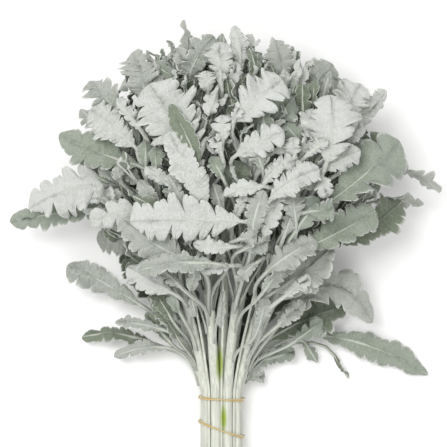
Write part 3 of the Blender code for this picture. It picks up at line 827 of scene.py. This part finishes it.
def make_stem(number, stem, feet, materials, sides, rings):
    """A felted stem with faint ribs, leaf scars and a slanting cut end."""
    obj = rounded_tube(f"felt_{stem.name}", sides, rings)
    dice = random.Random(number)
    turn_by = dice.uniform(0, math.pi)
    slant = dice.uniform(-0.5, 0.5)
    scars = [y * MM for y in feet]
    length = stem.tip.y - stem.start_y
    rubbed = obj.data.attributes.new("rubbed", "FLOAT", "POINT")
    for vertex in obj.data.vertices:
        share = vertex.co.z + 0.5
        reach = Vector((vertex.co.x, vertex.co.y)).length
        turn = math.atan2(vertex.co.y, vertex.co.x)
        y = stem.start_y + length * share
        centre, along = stem.centre(y), stem.direction(y)
        ribs = 1 + 0.035 * math.cos(5 * turn + turn_by) + 0.02 * math.cos(9 * turn + 3 * turn_by)
        bend = Vector((math.sin(y * 60 + number), 0, math.cos(y * 47 + number))) * 0.35 * MM
        tie = min(1.0, abs(y - FAN_START_Y) / (40 * MM)) if y > FAN_START_Y else 0.0
        radius = stem.radius_at(y) * reach * (ribs + bumps_at(y, scars))
        if share > 0.97:
            radius *= math.sqrt(max(0.0, 1 - ((share - 0.97) / 0.03) ** 2)) * 0.8 + 0.2
        right = Vector((0, 0, 1)).cross(along).normalized()
        up = along.cross(right)
        if share < 0.001:
            rubbed.data[vertex.index].value = reach
        point = centre + bend * tie + (right * math.cos(turn) + up * math.sin(turn)) * radius
        if share < 0.001:
            point.y += (point.z - centre.z) * slant * 0.5
            point.y = max(point.y, CUT_END_Y)
        elif reach > 0.5:
            rubbed.data[vertex.index].value = rubbed_share(point, y)
        vertex.co = point
    for material in materials:
        obj.data.materials.append(material)
    for face in obj.data.polygons:
        if face.center.y < stem.start_y + 2 * MM and abs(face.normal.y) > 0.7:
            face.material_index = 1
    select_only(obj)
    bpy.ops.object.mode_set(mode="EDIT")
    bpy.ops.mesh.select_all(action="SELECT")
    bpy.ops.mesh.normals_make_consistent(inside=False)
    bpy.ops.object.mode_set(mode="OBJECT")
    bpy.ops.object.shade_smooth_by_angle(angle=math.radians(50))
    return obj


def band_point(stems, turn, height, slope, lift):
    """Point of a stretched loop around the outer stems, this far off their skins."""
    way = Vector((math.cos(turn), 0.0, math.sin(turn)))
    reach = [
        Vector((s.tie_x, 0.0, s.tie_z)) + way * (s.radius + lift) for s in stems.values()
    ]
    point = max(reach, key=way.dot)
    point.y = height + slope * (point.x - AXIS_X)
    return point


def make_band(number, stems, row, material):
    """A thin rubber band wound twice, its two strands crossing on the camera side."""
    height, slope = row
    strands = []
    for side in (-1, 1):
        bpy.ops.object.select_all(action="DESELECT")
        bpy.ops.mesh.primitive_torus_add(
            major_segments=144, minor_segments=8, major_radius=1.0, minor_radius=0.25
        )
        obj = bpy.context.object
        radius = 0.52 * MM
        for vertex in obj.data.vertices:
            turn = math.atan2(vertex.co.y, vertex.co.x)
            ring = Vector((vertex.co.x, vertex.co.y)).length - 1.0
            spread = side * 1.5 * MM * math.cos(turn * 0.5 + math.pi * 0.25)
            lift = GAP + BAND_RADIUS + side * 0.53 * MM * math.sin(turn * 0.5 + math.pi * 0.25)
            point = band_point(stems, turn, height * MM, slope, lift)
            way = Vector((math.cos(turn), 0.0, math.sin(turn)))
            point += way * ring / 0.25 * radius
            point.y += spread + vertex.co.z / 0.25 * radius
            vertex.co = point
        strands.append(obj)
    select_only(*strands)
    bpy.ops.object.join()
    obj = bpy.context.object
    obj.name = obj.data.name = f"wound_band_{number}"
    bpy.ops.object.mode_set(mode="EDIT")
    bpy.ops.mesh.select_all(action="SELECT")
    bpy.ops.mesh.normals_make_consistent(inside=False)
    bpy.ops.object.mode_set(mode="OBJECT")
    bpy.ops.object.shade_smooth()
    obj.data.materials.clear()
    obj.data.materials.append(material)
    finish_piece(obj, "band_rubber", f"rubber_band_{number}")


def bezier(points, t):
    """Point of a cubic curve."""
    a, b, c, d = points
    s = 1 - t
    return a * s**3 + b * 3 * s * s * t + c * 3 * s * t * t + d * t**3


def leaf_curves(stem, leaf, change):
    """Petiole and blade as two cubic curves that meet smoothly, and the way out at the foot."""
    lift, turn, slide, _ = change
    start = millimetres(leaf[2]) + Vector((0, 0, lift * MM))
    tip = millimetres(leaf[3]) + Vector((0, 0, lift * MM))
    middle = (start + tip) / 2 + millimetres(leaf[4]) * 2
    y = (leaf[1] + slide) * MM
    centre, along = stem.centre(y), stem.direction(y)
    out = start - centre
    out = (out - along * out.dot(along)).normalized()
    out = Quaternion(along, math.radians(turn)) @ out
    foot = centre + out * (stem.radius_at(y) + GAP)
    handle = (start - foot).length * HANDLE
    back = (start - middle).normalized()
    petiole = (foot, foot + along * handle, start + back * handle, start)
    blade = (start, (start + middle * 2) / 3, (tip + middle * 2) / 3, tip)
    return petiole, blade, out


def full_width(leaf, share):
    """Half width of the blade without its cuts."""
    widest = STYLES[leaf[8]][1]
    return leaf[5] * MM / 2 * math.sin(math.pi * min(1.0, share) ** widest) ** 0.6


def rolled_up(along, degrees):
    """Upward normal across this direction, rolled around it."""
    up = Vector((0, 0, 1))
    up = (up - along * up.dot(along)).normalized()
    return Quaternion(along, math.radians(degrees)) @ up


def frame_marks(stem, leaf, change):
    """Three points that the frame's leaf has after this change: its foot and its widest row."""
    petiole, blade, _ = leaf_curves(stem, leaf, change)
    step = 1 / STYLES[leaf[8]][0]
    along = (bezier(blade, 0.5 + step) - bezier(blade, 0.5 - step)).normalized()
    normal = rolled_up(along, leaf[6] + change[3])
    half = full_width(leaf, 0.5)
    lobe = half - PETIOLE_HALF_WIDTH
    marks = [petiole[0]]
    for side in (-1, 1):
        point = bezier(blade, 0.5) + along.cross(normal) * side * half + along * lobe * 0.45
        point += normal * lobe * math.tan(math.radians(leaf[7]))
        point.z = max(point.z, 0.0)
        marks.append(point)
    return marks


def changes():
    """Every change, the smallest first."""
    ranks = [range(len(options)) for options in (LIFTS, TURNS, SLIDES, TILTS)]
    for a, b, c, d in sorted(itertools.product(*ranks), key=lambda r: (sum(r), r)):
        yield LIFTS[a], TURNS[b], SLIDES[c], TILTS[d]


def frame_change(name, stem, leaf):
    """The change that the frame made to this leaf, read from the points of its node."""
    points = [vertex.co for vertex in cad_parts[name].data.vertices]
    tree = KDTree(len(points))
    for i, point in enumerate(points):
        tree.insert(point, i)
    tree.balance()
    for change in changes():
        if all(tree.find(mark)[2] < 0.02 * MM for mark in frame_marks(stem, leaf, change)):
            return change
    raise RuntimeError(f"{name} doesn't match the frame")


def carried_frames(centres, middle, normal, out, petiole_rows):
    """Direction and normal of every row, carried from the middle row both ways.

    The petiole then twists so that its foot lies flat against the stem.
    """
    last = len(centres) - 1
    along = [
        (centres[min(i + 1, last)] - centres[max(i - 1, 0)]).normalized()
        for i in range(last + 1)
    ]
    normals = [None] * (last + 1)
    normals[middle] = normal
    for i in [*range(middle + 1, last + 1), *range(middle - 1, -1, -1)]:
        before = normals[i - 1] if i > middle else normals[i + 1]
        normals[i] = (before - along[i] * before.dot(along[i])).normalized()
    twist = math.atan2(normals[0].cross(out).dot(along[0]), normals[0].dot(out))
    for i in range(petiole_rows):
        normals[i] = Quaternion(along[i], twist * (1 - i / petiole_rows)) @ normals[i]
    return np.array(along), np.array(normals)


def between(values, place):
    """Smoothly joined values at a place along them."""
    low = np.clip(np.floor(place).astype(int), 0, len(values) - 2)
    share = np.clip(place - low, 0.0, 1.0)
    share = share * share * (3 - 2 * share)
    return values[low] * (1 - share) + values[low + 1] * share


def leaf_side(leaf, lobes, scallops, share, phase, dice, strength):
    """One side of the blade: half width, curl, tilt, pucker and slide along the midrib.

    Each lobe is a finger with a round scalloped end, and a narrow cut parts it from the next.
    The lobe at the tip has no cut.
    """
    _, widest, _, depth, _, curl, wave = STYLES[leaf[8]]
    half = leaf[5] * MM / 2
    pitch = (millimetres(leaf[3]) - millimetres(leaf[2])).length / (2 * lobes)
    full = half * np.sin(np.pi * np.clip(share, 0, 1) ** widest) ** 0.52
    off = np.where(phase > lobes - 0.5, 0.0, 2 * (phase % 1.0) - 1.0)
    lengths = np.array([dice.uniform(0.66, 1.14) for _ in range(lobes + 3)])
    curls = np.array([dice.uniform(-0.8, 1.0) for _ in range(lobes + 3)])
    tilts = np.array([dice.uniform(-0.22, 0.22) for _ in range(lobes + 3)])
    notches = np.array([dice.choice((0.6, 0.8, 1.0, 1.0, 1.9)) for _ in range(lobes + 3)])
    finger = np.clip(1 - np.abs(off) ** 2.6, 0.0, 1.0) ** 0.55
    scallop = np.clip(1 - (2 * ((phase * scallops) % 1.0) - 1.0) ** 4, 0.0, 1.0) ** 0.5
    cuts = depth * np.minimum(1, 1.25 - 0.4 * share) * notches[np.rint(phase).astype(int)]
    width = full * between(lengths, phase + 0.5) * (1 - cuts + cuts * finger)
    width *= 1 - SCALLOP_DEPTH * (1 - scallop) * (scallops > 1)
    bend = curl * between(curls, phase + 0.5)
    bend += wave * np.sin(2 * np.pi * 2.3 * share + dice.uniform(0, 6))
    tilt = half * between(tilts, phase + 0.5) * off * (1 - off**8)
    pucker = 0.6 * MM * (1 - 2 * finger) * np.minimum(1, 6 * share)
    slide = dice.uniform(-0.25, 0.05) * off * (1 - off**8) * pitch
    width = np.maximum(width, PETIOLE_HALF_WIDTH * (1 - 0.75 * share))
    return width, bend * strength, tilt * strength, pucker, slide


def leaf_rows(stem, leaf, change, petiole_rows, blade_shares):
    """Middles, directions and normals of the rows of a leaf, from its foot to its tip."""
    petiole, blade, out = leaf_curves(stem, leaf, change)
    centres = [bezier(petiole, i / petiole_rows) for i in range(petiole_rows)]
    centres += [bezier(blade, t) for t in blade_shares.tolist()]
    step = 1 / STYLES[leaf[8]][0]
    along = (bezier(blade, 0.5 + step) - bezier(blade, 0.5 - step)).normalized()
    normal = rolled_up(along, leaf[6] + change[3])
    middle = petiole_rows + int(np.argmin(np.abs(blade_shares - 0.5)))
    along, normals = carried_frames(centres, middle, normal, out, petiole_rows)
    return np.array(centres), along, normals


def lobe_spacing(lobes, phases, dice):
    """Share of the blade's length at each phase: uneven lobes, a little closer near the foot."""
    steps = [0.0] + [dice.uniform(0.65, 1.35) for _ in range(lobes)]
    places = np.cumsum(steps) / sum(steps)
    return np.interp(phases, range(lobes + 1), places) ** LOBE_SPACING_POWER


def leaf_points(stem, leaf, change, seed, strength, grid):
    """Lower face of a leaf as points in rows and columns, with its map.

    The map gives the lobe phase, the place from rib to edge and the wear of the wool.
    """
    petiole_rows, lobe_rows, scallops, steps = GRIDS[grid]
    lobes = STYLES[leaf[8]][2] if grid == "large" else STYLES[leaf[8]][2] // 2 + 1
    dice = random.Random(seed)
    phases = np.arange(lobes * lobe_rows + 1) / lobe_rows
    blade_shares = lobe_spacing(lobes, phases, dice)
    centres, along, normals = leaf_rows(stem, leaf, change, petiole_rows, blade_shares)
    shares = np.concatenate([np.zeros(petiole_rows), blade_shares])
    phases = np.concatenate([np.zeros(petiole_rows), phases])
    twist = strength * dice.uniform(0.12, 0.3) * np.sin(5.2 * shares + dice.uniform(0, 6))
    twist = (twist * np.minimum(1, 5 * shares))[:, None]
    sides = np.cross(along, normals)
    sides, normals = (
        sides * np.cos(twist) + normals * np.sin(twist),
        normals * np.cos(twist) - sides * np.sin(twist),
    )
    half = leaf[5] * MM / 2
    rib = 1.1 * MM * (1 - 0.72 * shares)
    rise = math.tan(math.radians(leaf[7]))
    lean = STYLES[leaf[8]][4]
    columns = [(-1, step) for step in reversed(steps)] + [(0, 0.0)] + [(1, step) for step in steps]
    offsets = (0.0, dice.randint(0, lobe_rows // 2) / lobe_rows)
    left, right = (
        leaf_side(leaf, lobes, scallops, shares, phases + offset, dice, strength)
        for offset in offsets
    )
    wear = dice.uniform(-0.1, 0.35) + 0.35 * (1 - shares) ** 2
    grown = np.minimum(1, shares * 7)
    points, veins = [], []
    for side, step in columns:
        width, bend, tilt, pucker, slide = left if side < 0 else right
        off = np.abs(side) * (rib + (width - rib) * step)
        lobe = np.maximum(off - PETIOLE_HALF_WIDTH, 0)
        reach = off / half
        height = lobe * rise + half * bend * reach**2 + tilt * step**2
        height += pucker * np.minimum(1, 2 * reach) * step
        height -= 0.35 * MM * (side == 0) * grown
        height -= 0.06 * half * (step > 0.9) * grown
        forward = lean * lobe * (1 - 0.42 * reach) * (1 - 0.85 * shares**3) + slide * step
        point = centres + sides * (side * off)[:, None] + along * forward[:, None]
        height += crumpled(point, strength) * grown * np.minimum(1, 3 * reach)
        point += normals * height[:, None]
        points.append(point)
        phase = phases + (offsets[0] if side < 0 else offsets[1])
        across = np.full_like(phase, abs(side) * (0.2 + 0.8 * step))
        veins.append(np.stack([phase, across, wear + 0.3 * (0.5 - step)], axis=1))
    points = np.stack(points, axis=1)
    points[..., 2] = np.maximum(points[..., 2], 0.05 * MM)
    return points, np.stack(veins, axis=1)


def swell_waves():
    """Waves in space whose sum crumples the leaves: way and shift of each, and its height."""
    dice = random.Random(5)
    for length, height in ((30 * MM, 0.6 * MM), (12 * MM, 0.32 * MM)):
        for _ in range(6):
            way = Vector((dice.gauss(0, 1), dice.gauss(0, 1), dice.gauss(0, 1))).normalized()
            yield np.array(way) * 2 * math.pi / length, dice.uniform(0, 6), height


SWELLS = tuple(swell_waves())


def crumpled(places, strength):
    """How far the blade swells at these places: broad swells 30 mm long, and finer ones."""
    return 1.6 * strength * sum(
        height * np.sin(places @ way + shift) for way, shift, height in SWELLS
    )


def both_faces(points):
    """Corners and faces of a leaf, its upper face 0.7 mm over its lower one."""
    rows, columns = points.shape[:2]
    index = np.arange(rows * columns).reshape(rows, columns)
    low, high = index[:-1], index[1:]
    faces = np.stack([low[:, :-1], low[:, 1:], high[:, 1:], high[:, :-1]], axis=-1).reshape(-1, 4)
    lower = points.reshape(-1, 3)
    return np.concatenate([lower, lower + (0, 0, 0.7 * MM)]), np.concatenate([faces, faces + len(lower)])


def search_tree(leaves):
    """One tree for overlap and ray tests of these leaves, given as corners and faces."""
    starts = np.cumsum([0] + [len(corners) for corners, _ in leaves[:-1]])
    corners = np.concatenate([corners for corners, _ in leaves])
    faces = np.concatenate([faces + start for (_, faces), start in zip(leaves, starts)])
    return BVHTree.FromPolygons(corners.tolist(), faces.tolist())


def shaped_grid(name, points, veins):
    """A grid primitive whose points are moved to these rows and columns."""
    rows, columns = points.shape[0] - 1, points.shape[1] - 1
    bpy.ops.object.select_all(action="DESELECT")
    bpy.ops.mesh.primitive_grid_add(x_subdivisions=columns, y_subdivisions=rows, size=2.0)
    obj = bpy.context.object
    obj.name = obj.data.name = name
    mesh = obj.data
    place = np.empty(len(mesh.vertices) * 3)
    mesh.vertices.foreach_get("co", place)
    place = place.reshape(-1, 3)
    row = np.rint((place[:, 1] + 1) / 2 * rows).astype(int)
    column = np.rint((place[:, 0] + 1) / 2 * columns).astype(int)
    mesh.vertices.foreach_set("co", points[row, column].ravel())
    corner = np.empty(len(mesh.loops), int)
    mesh.loops.foreach_get("vertex_index", corner)
    mesh.uv_layers[0].name = "blade"
    mesh.uv_layers["blade"].data.foreach_set("uv", veins[row, column, :2][corner].ravel())
    wear = mesh.attributes.new("wear", "FLOAT", "POINT")
    wear.data.foreach_set("value", veins[row, column, 2])
    for number in range(columns + 1):
        group = obj.vertex_groups.new(name=f"column_{number}")
        group.add([int(i) for i in np.flatnonzero(column == number)], 1.0, "REPLACE")
    return obj


def thick_leaf(name, points, veins, thickness, materials):
    """A leaf with its thickness: full along the rib, thin at the edge."""
    obj = shaped_grid(name, points, veins)
    last = points.shape[1] - 1
    weight = obj.vertex_groups.new(name="weight")
    for number in range(last + 1):
        off = abs(2 * number / last - 1)
        share = 1.0 if off < 0.01 else 0.75 - 0.45 * off
        group = obj.vertex_groups[f"column_{number}"]
        members = [v.index for v in obj.data.vertices if v.groups[0].group == group.index]
        weight.add(members, share, "REPLACE")
    for material in materials:
        obj.data.materials.append(material)
    bpy.ops.object.shade_smooth()
    bpy.ops.object.modifier_add(type="SOLIDIFY")
    solid = obj.modifiers[-1]
    solid.thickness = thickness
    solid.offset = 1.0
    solid.vertex_group = "weight"
    solid.use_even_offset = False
    solid.material_offset = 1
    bpy.ops.object.modifier_apply(modifier=solid.name)
    obj.vertex_groups.clear()
    return obj


class Thicket:
    """The leaves placed so far, for tests of touching, hiding and gaps.

    Single leaves are kept with a tree each, and every 40 of them are joined in one tree.
    """

    def __init__(self):
        self.groves = []
        self.young = []
        self.trees = []

    def add(self, points):
        """Place a leaf."""
        leaf = both_faces(points)
        self.young.append(leaf)
        self.trees.append(search_tree([leaf]))
        if len(self.young) == 40:
            del self.trees[len(self.groves) :]
            self.groves.append(search_tree(self.young))
            self.trees.append(self.groves[-1])
            self.young = []

    def touching(self, tree):
        """How many faces of this tree cross the leaves already placed."""
        return sum(len(tree.overlap(other)) for other in self.trees)

    def first_hit(self, place, way):
        """Distance from this place to the nearest face that way, or None."""
        hits = [tree.ray_cast(place, way, 0.3)[3] for tree in self.trees]
        return min((hit for hit in hits if hit is not None), default=None)

    def show(self, leaves):
        """Note which points of these leaves are seen from above, so that they stay in view."""
        spots, owners = [], []
        for number, points in enumerate(leaves):
            for spot in points[4::5, 1::2].reshape(-1, 3):
                if self.first_hit(Vector(spot) + LIFT_OFF, UP) is None:
                    spots.append(spot)
                    owners.append(number)
        self.spots = np.array(spots)
        self.owners = np.array(owners)
        self.sizes = np.bincount(self.owners, minlength=len(leaves))
        self.hidden = np.zeros(len(leaves))

    def hides(self, points, tree):
        """Whether this leaf would cover too much of a shown leaf. If it doesn't, it's noted."""
        low, high = points.min(axis=(0, 1)), points.max(axis=(0, 1))
        near = (self.spots > (low[0], low[1], -1)).all(axis=1) & (self.spots < high).all(axis=1)
        under = [
            i
            for i in np.flatnonzero(near)
            if tree.ray_cast(Vector(self.spots[i]) + LIFT_OFF, UP)[0] is not None
        ]
        counts = np.bincount(self.owners[under], minlength=len(self.sizes))
        if ((counts > 0) & (self.hidden + counts > MOST_HIDDEN * self.sizes)).any():
            return True
        self.hidden += counts
        return False


def head_share(point):
    """How far a point is from the middle of the head, where 1 is its outline."""
    off = point - HEAD_MIDDLE
    return Vector(a / b for a, b in zip(off, HEAD_HALF_SIZE)).length


def gap_leaf(stems, thicket, layer, dice):
    """A stem number and a row for a small leaf in an open place of the head, or None."""
    low, high, shortest, longest, tilt, _, felts = layer
    way = Vector((dice.gauss(0, 1), dice.gauss(0, 1), dice.gauss(0, 1))).normalized()
    from_above = dice.random() < 0.65
    if from_above:
        way.z = abs(way.z)
    skin = HEAD_MIDDLE + Vector(a * b for a, b in zip(way, HEAD_HALF_SIZE))
    inward = Vector((0, 0, -1)) if from_above else (HEAD_MIDDLE - skin).normalized()
    outside = 40 * MM
    hit = thicket.first_hit(skin - inward * outside, inward)
    depth = 90 * MM if hit is None else min(90 * MM, hit - outside)
    if depth < (low + 6) * MM or skin.y < HEAD_FRONT_Y:
        return None
    sunk = dice.uniform(low * MM, min(depth - 5 * MM, high * MM))
    middle = skin + inward * sunk
    root = Vector((AXIS_X, FAN_START_Y, AXIS_Z))
    jitter = Vector((dice.gauss(0, tilt), dice.gauss(0, tilt), dice.gauss(0, tilt)))
    along = ((middle - root).normalized() + jitter - inward * dice.uniform(-0.2, 0.5)).normalized()
    size = dice.uniform(shortest, longest) * MM
    start, tip = middle - along * size / 2, middle + along * size / 2
    facing = -inward + Vector((dice.gauss(0, tilt), dice.gauss(0, tilt), dice.gauss(0, tilt)))
    facing = (facing - along * facing.dot(along)).normalized()
    level = rolled_up(along, 0)
    roll = math.degrees(math.atan2(level.cross(facing).dot(along), level.dot(facing)))
    back = dice.uniform(14, 34) * MM
    number = min(stems, key=lambda n: (stems[n].centre(start.y - back) - start).length)
    foot = min(max(start.y - back, FAN_START_Y + 30 * MM), stems[number].tip.y - 4 * MM)
    style = dice.choice(("cut", "cut", "broad", "spear", "strap"))
    bow = (dice.uniform(-2, 2), dice.uniform(-2, 2), dice.uniform(0, 4))
    wide = size / MM * dice.uniform(0.42, 0.66)
    ends = (tuple(start / MM), tuple(tip / MM))
    fold = dice.uniform(4, 30)
    return number, (number, foot / MM, *ends, bow, wide, roll, fold, style, dice.choice(felts))


def photographed_leaf(stem, leaf, seed, thicket, ruffle):
    """The leaf after the small change that leaves the fewest faces crossing its neighbours."""
    best = None
    for change in itertools.islice(changes(), 24):
        points, veins = leaf_points(stem, leaf, change, seed, ruffle, "small")
        touching = thicket.touching(search_tree([both_faces(points)]))
        if best is None or touching < best[0]:
            best = touching, points, veins
        if touching == 0:
            break
    return best[1:]


def flat_sketch(leaf):
    """The blade of a leaf as one flat face, for a first quick test."""
    start, tip = millimetres(leaf[2]), millimetres(leaf[3])
    along = (tip - start).normalized()
    side = along.cross(rolled_up(along, leaf[6])) * leaf[5] * MM * 0.4
    corners = (start - side, start + side, tip + side, tip - side)
    return BVHTree.FromPolygons(corners, [(0, 1, 2, 3)])


def fitting_leaf(stem, leaf, seed, thicket, ruffle, reach):
    """The leaf if it keeps within this reach, touches nothing and hides little, or None.

    It is tried at its full size first, and then smaller.
    """
    start, tip = Vector(leaf[2]), Vector(leaf[3])
    middle = (start + tip) / 2
    for size in (1.0, 0.7, 0.5, 0.36):
        ends = (tuple(middle + (end - middle) * size) for end in (start, tip))
        row = (*leaf[:2], *ends, leaf[4], leaf[5] * size, *leaf[6:])
        if thicket.touching(flat_sketch(row)):
            continue
        points, veins = leaf_points(stem, row, (0, 0, 0, 0), seed, ruffle, "filling")
        blade = points[GRIDS["filling"][0] :]
        inside = all(head_share(Vector(p)) < reach for p in blade[::6].reshape(-1, 3).tolist())
        if not inside or blade[..., 2].min() < 1 * MM or points[..., 2].max() > CAD_HIGH.z:
            continue
        if thicket.touching(search_tree([both_faces(blade)])) == 0:
            whole = search_tree([both_faces(points)])
            if thicket.touching(whole) < 8 and not thicket.hides(points, whole):
                return points, veins
    return None


@functools.cache
def large_leaves(ruffle):
    """Points and map of every leaf of the frame, less ruffled where it would cross another."""
    stems = all_stems()
    thicket = Thicket()
    made = []
    for number, leaf in enumerate(LEAVES, 1):
        stem = stems[leaf[0]]
        change = frame_change(f"leaf_{number:02d}", stem, leaf)
        best = None
        for attempt in range(18):
            seed, strength = number + 100 * attempt, (1 - 0.15 * (attempt // 3)) * ruffle
            points, veins = leaf_points(stem, leaf, change, seed, strength, "large")
            touching = thicket.touching(search_tree([both_faces(points)]))
            if best is None or touching < best[0]:
                best = touching, points, veins
            if touching < CONTACT_FACES:
                break
        thicket.add(best[1])
        made.append(best[1:])
    return made


def small_leaves(stems, ruffle, tries):
    """Small leaves by the number of their stem: those of the photo, then those that fill gaps."""
    large = [points for points, _ in large_leaves(ruffle)]
    grown = {number: [] for number in stems}
    thicket = Thicket()
    for points in large:
        thicket.add(points)
    for number, leaf in enumerate(SMALL_LEAVES, 101):
        made = photographed_leaf(stems[leaf[0]], leaf, number, thicket, ruffle)
        thicket.add(made[0])
        grown[leaf[0]].append((made, leaf[9]))
    thicket.show(large + [made[0] for leaves in grown.values() for made, _ in leaves])
    dice = random.Random(7)
    for seed in range(tries):
        layer = FILLING_LAYERS[seed * len(FILLING_LAYERS) // tries]
        found = gap_leaf(stems, thicket, layer, dice)
        if found:
            number, leaf = found
            made = fitting_leaf(stems[number], leaf, 1000 + seed, thicket, ruffle, layer[5])
            if made:
                thicket.add(made[0])
                grown[number].append((made, leaf[9]))
    return grown


class BUNCH_OT_stems(bpy.types.Operator):
    """Build the felted stems"""

    bl_idname = "bunch.stems"
    bl_label = "Stems"

    def execute(self, context):
        colours = context.scene.bunch_colours
        materials = [stem_felt(colours), cut_pith(colours)]
        for number, stem in all_stems().items():
            feet = [leaf[1] for leaf in LEAVES if leaf[0] == number]
            obj = make_stem(number, stem, feet, materials, 16, 110)
            finish_piece(obj, "stem_felt", stem.name)
        return {"FINISHED"}


class BUNCH_OT_stalks(bpy.types.Operator):
    """Build the thin stalks in the grooves between the stems"""

    bl_idname = "bunch.stalks"
    bl_label = "Thin Stalks"

    def execute(self, context):
        stems = all_stems()
        materials = list(bpy.data.objects["felt_stem_01"].data.materials)
        for number, (left, right, end_y) in enumerate(STALKS, 1):
            stalk = Stalk(f"stalk_{number}", stems[left], stems[right], end_y)
            obj = make_stem(20 + number, stalk, [], materials, 10, 60)
            finish_piece(obj, "stem_felt")
        return {"FINISHED"}


class BUNCH_OT_bands(bpy.types.Operator):
    """Build the two rubber bands"""

    bl_idname = "bunch.bands"
    bl_label = "Bands"

    def execute(self, context):
        material = band_rubber(context.scene.bunch_colours)
        stems = all_stems()
        for number, row in enumerate(BANDS, 1):
            make_band(number, stems, row, material)
        return {"FINISHED"}


def felt_pairs(colours):
    """Upper and under face materials of each kind of leaf, made once."""
    kinds = {
        "pale": (colours.pale, tone(colours.grey, 1.15)),
        "grey": (colours.grey, tone(colours.sage, 0.9)),
        "sage": (colours.sage, tone(colours.olive, 1.2)),
        "olive": (colours.olive, tone(colours.painted_shade, 1.3)),
        # The darkest felt is painted shade, and its thin patches are darker still.
        "painted_shade": (colours.painted_shade, tone(colours.painted_shade, 0.7)),
    }
    made = {}
    for kind, (colour, thin) in kinds.items():
        name = f"woolly_leaf_felt_{kind}"
        made[kind] = bpy.data.materials.get(name) or leaf_felt(name, colour, thin[:3])
    # Pale and grey leaves take the darker sage felt on their under face: painted shade on the side turned
    # from the light.
    unders = {"pale": "sage", "grey": "sage", "sage": "pale", "olive": "grey", "painted_shade": "olive"}
    return {kind: (made[kind], made[under]) for kind, under in unders.items()}


class BUNCH_OT_leaves(bpy.types.Operator):
    """Build the large leaves of the frame"""

    bl_idname = "bunch.leaves"
    bl_label = "Large Leaves"

    def execute(self, context):
        settings = context.scene.bunch_leaves
        felts = felt_pairs(context.scene.bunch_colours)
        made = large_leaves(settings.ruffle)
        for number, (leaf, (points, veins)) in enumerate(zip(LEAVES, made), 1):
            name = f"leaf_{number:02d}"
            obj = thick_leaf(f"felt_{name}", points, veins, settings.thickness, felts[leaf[9]])
            finish_piece(obj, "leaf_felt", name)
        return {"FINISHED"}


class BUNCH_OT_small_leaves(bpy.types.Operator):
    """Build the small leaves between the large ones, joined in one piece for each stem"""

    bl_idname = "bunch.small_leaves"
    bl_label = "Small Leaves"

    def execute(self, context):
        settings = context.scene.bunch_leaves
        felts = felt_pairs(context.scene.bunch_colours)
        thickness = SMALL_LEAF_THICKNESS * settings.thickness
        grown = small_leaves(all_stems(), settings.ruffle, settings.small_leaves)
        for number, leaves in grown.items():
            pieces = [
                thick_leaf(f"small_{number}", *made, thickness, felts[felt])
                for made, felt in leaves
            ]
            select_only(*pieces)
            bpy.ops.object.join()
            obj = context.object
            obj.name = obj.data.name = f"small_leaves_{number:02d}"
            finish_piece(obj, "leaf_felt")
        return {"FINISHED"}


class BUNCH_OT_stage(bpy.types.Operator):
    """Build the floor, the lights and the camera"""

    bl_idname = "bunch.stage"
    bl_label = "Stage"

    def execute(self, context):
        settings = context.scene.bunch_stage
        bpy.ops.object.select_all(action="DESELECT")
        bpy.ops.mesh.primitive_plane_add(size=settings.floor_size)
        floor = context.object
        floor.name = "studio_floor"
        floor.data.materials.append(matte_paper())
        world = bpy.data.worlds.new("white_room")
        world.use_nodes = True
        background = world.node_tree.nodes["Background"]
        background.inputs["Color"].default_value = (1.0, 1.0, 1.0, 1.0)
        background.inputs["Strength"].default_value = settings.sky
        context.scene.world = world
        add_light("key", (-0.7, 0.7, 2.4), 1.2, settings.key_power)
        add_light("fill", (0.5, -1.1, 2.3), 1.4, settings.key_power * 0.35)
        bpy.ops.object.camera_add(
            location=(-1.3 * MM, 41.2 * MM, settings.camera_height), rotation=(0, 0, 0)
        )
        camera = context.object
        camera.name = "camera"
        camera.data.lens = 221.7
        camera.data.sensor_width = 36.0
        camera.data.clip_start = 0.1
        camera.data.clip_end = 100.0
        context.scene.camera = camera
        context.scene.view_settings.view_transform = "Standard"
        return {"FINISHED"}


def add_light(name, place, size, power):
    """A square soft light turned towards the head of the bunch."""
    way = Vector((0.0, 0.06, 0.06)) - Vector(place)
    bpy.ops.object.light_add(
        type="AREA", location=place, rotation=way.to_track_quat("-Z", "Y").to_euler()
    )
    light = bpy.context.object
    light.name = f"{name}_light"
    light.data.size = size
    light.data.energy = power


class BUNCH_PT_panel(bpy.types.Panel):
    """Buttons that build the bunch"""

    bl_label = "Dusty Miller Bunch"
    bl_idname = "BUNCH_PT_panel"
    bl_space_type = "VIEW_3D"
    bl_region_type = "UI"
    bl_category = "Bunch"

    def draw(self, context):
        for operator in OPERATORS:
            self.layout.operator(operator.bl_idname)


OPERATORS = (
    BUNCH_OT_stems,
    BUNCH_OT_stalks,
    BUNCH_OT_bands,
    BUNCH_OT_leaves,
    BUNCH_OT_small_leaves,
    BUNCH_OT_stage,
)
GROUPS = {
    "bunch_leaves": LeafSettings,
    "bunch_colours": FeltColours,
    "bunch_stage": StageSettings,
}


def register():
    """Add the classes and the settings to Blender."""
    for group in GROUPS.values():
        bpy.utils.register_class(group)
    for operator in OPERATORS:
        bpy.utils.register_class(operator)
    bpy.utils.register_class(BUNCH_PT_panel)
    for name, group in GROUPS.items():
        setattr(bpy.types.Scene, name, bpy.props.PointerProperty(type=group))


def unregister():
    """Take the settings and the classes out of Blender."""
    for name in GROUPS:
        delattr(bpy.types.Scene, name)
    bpy.utils.unregister_class(BUNCH_PT_panel)
    for operator in reversed(OPERATORS):
        bpy.utils.unregister_class(operator)
    for group in reversed(GROUPS.values()):
        bpy.utils.unregister_class(group)


def main():
    """Build everything in order."""
    register()
    for operator in OPERATORS:
        group, name = operator.bl_idname.split(".")
        getattr(getattr(bpy.ops, group), name)()


if __name__ == "__main__":
    main()
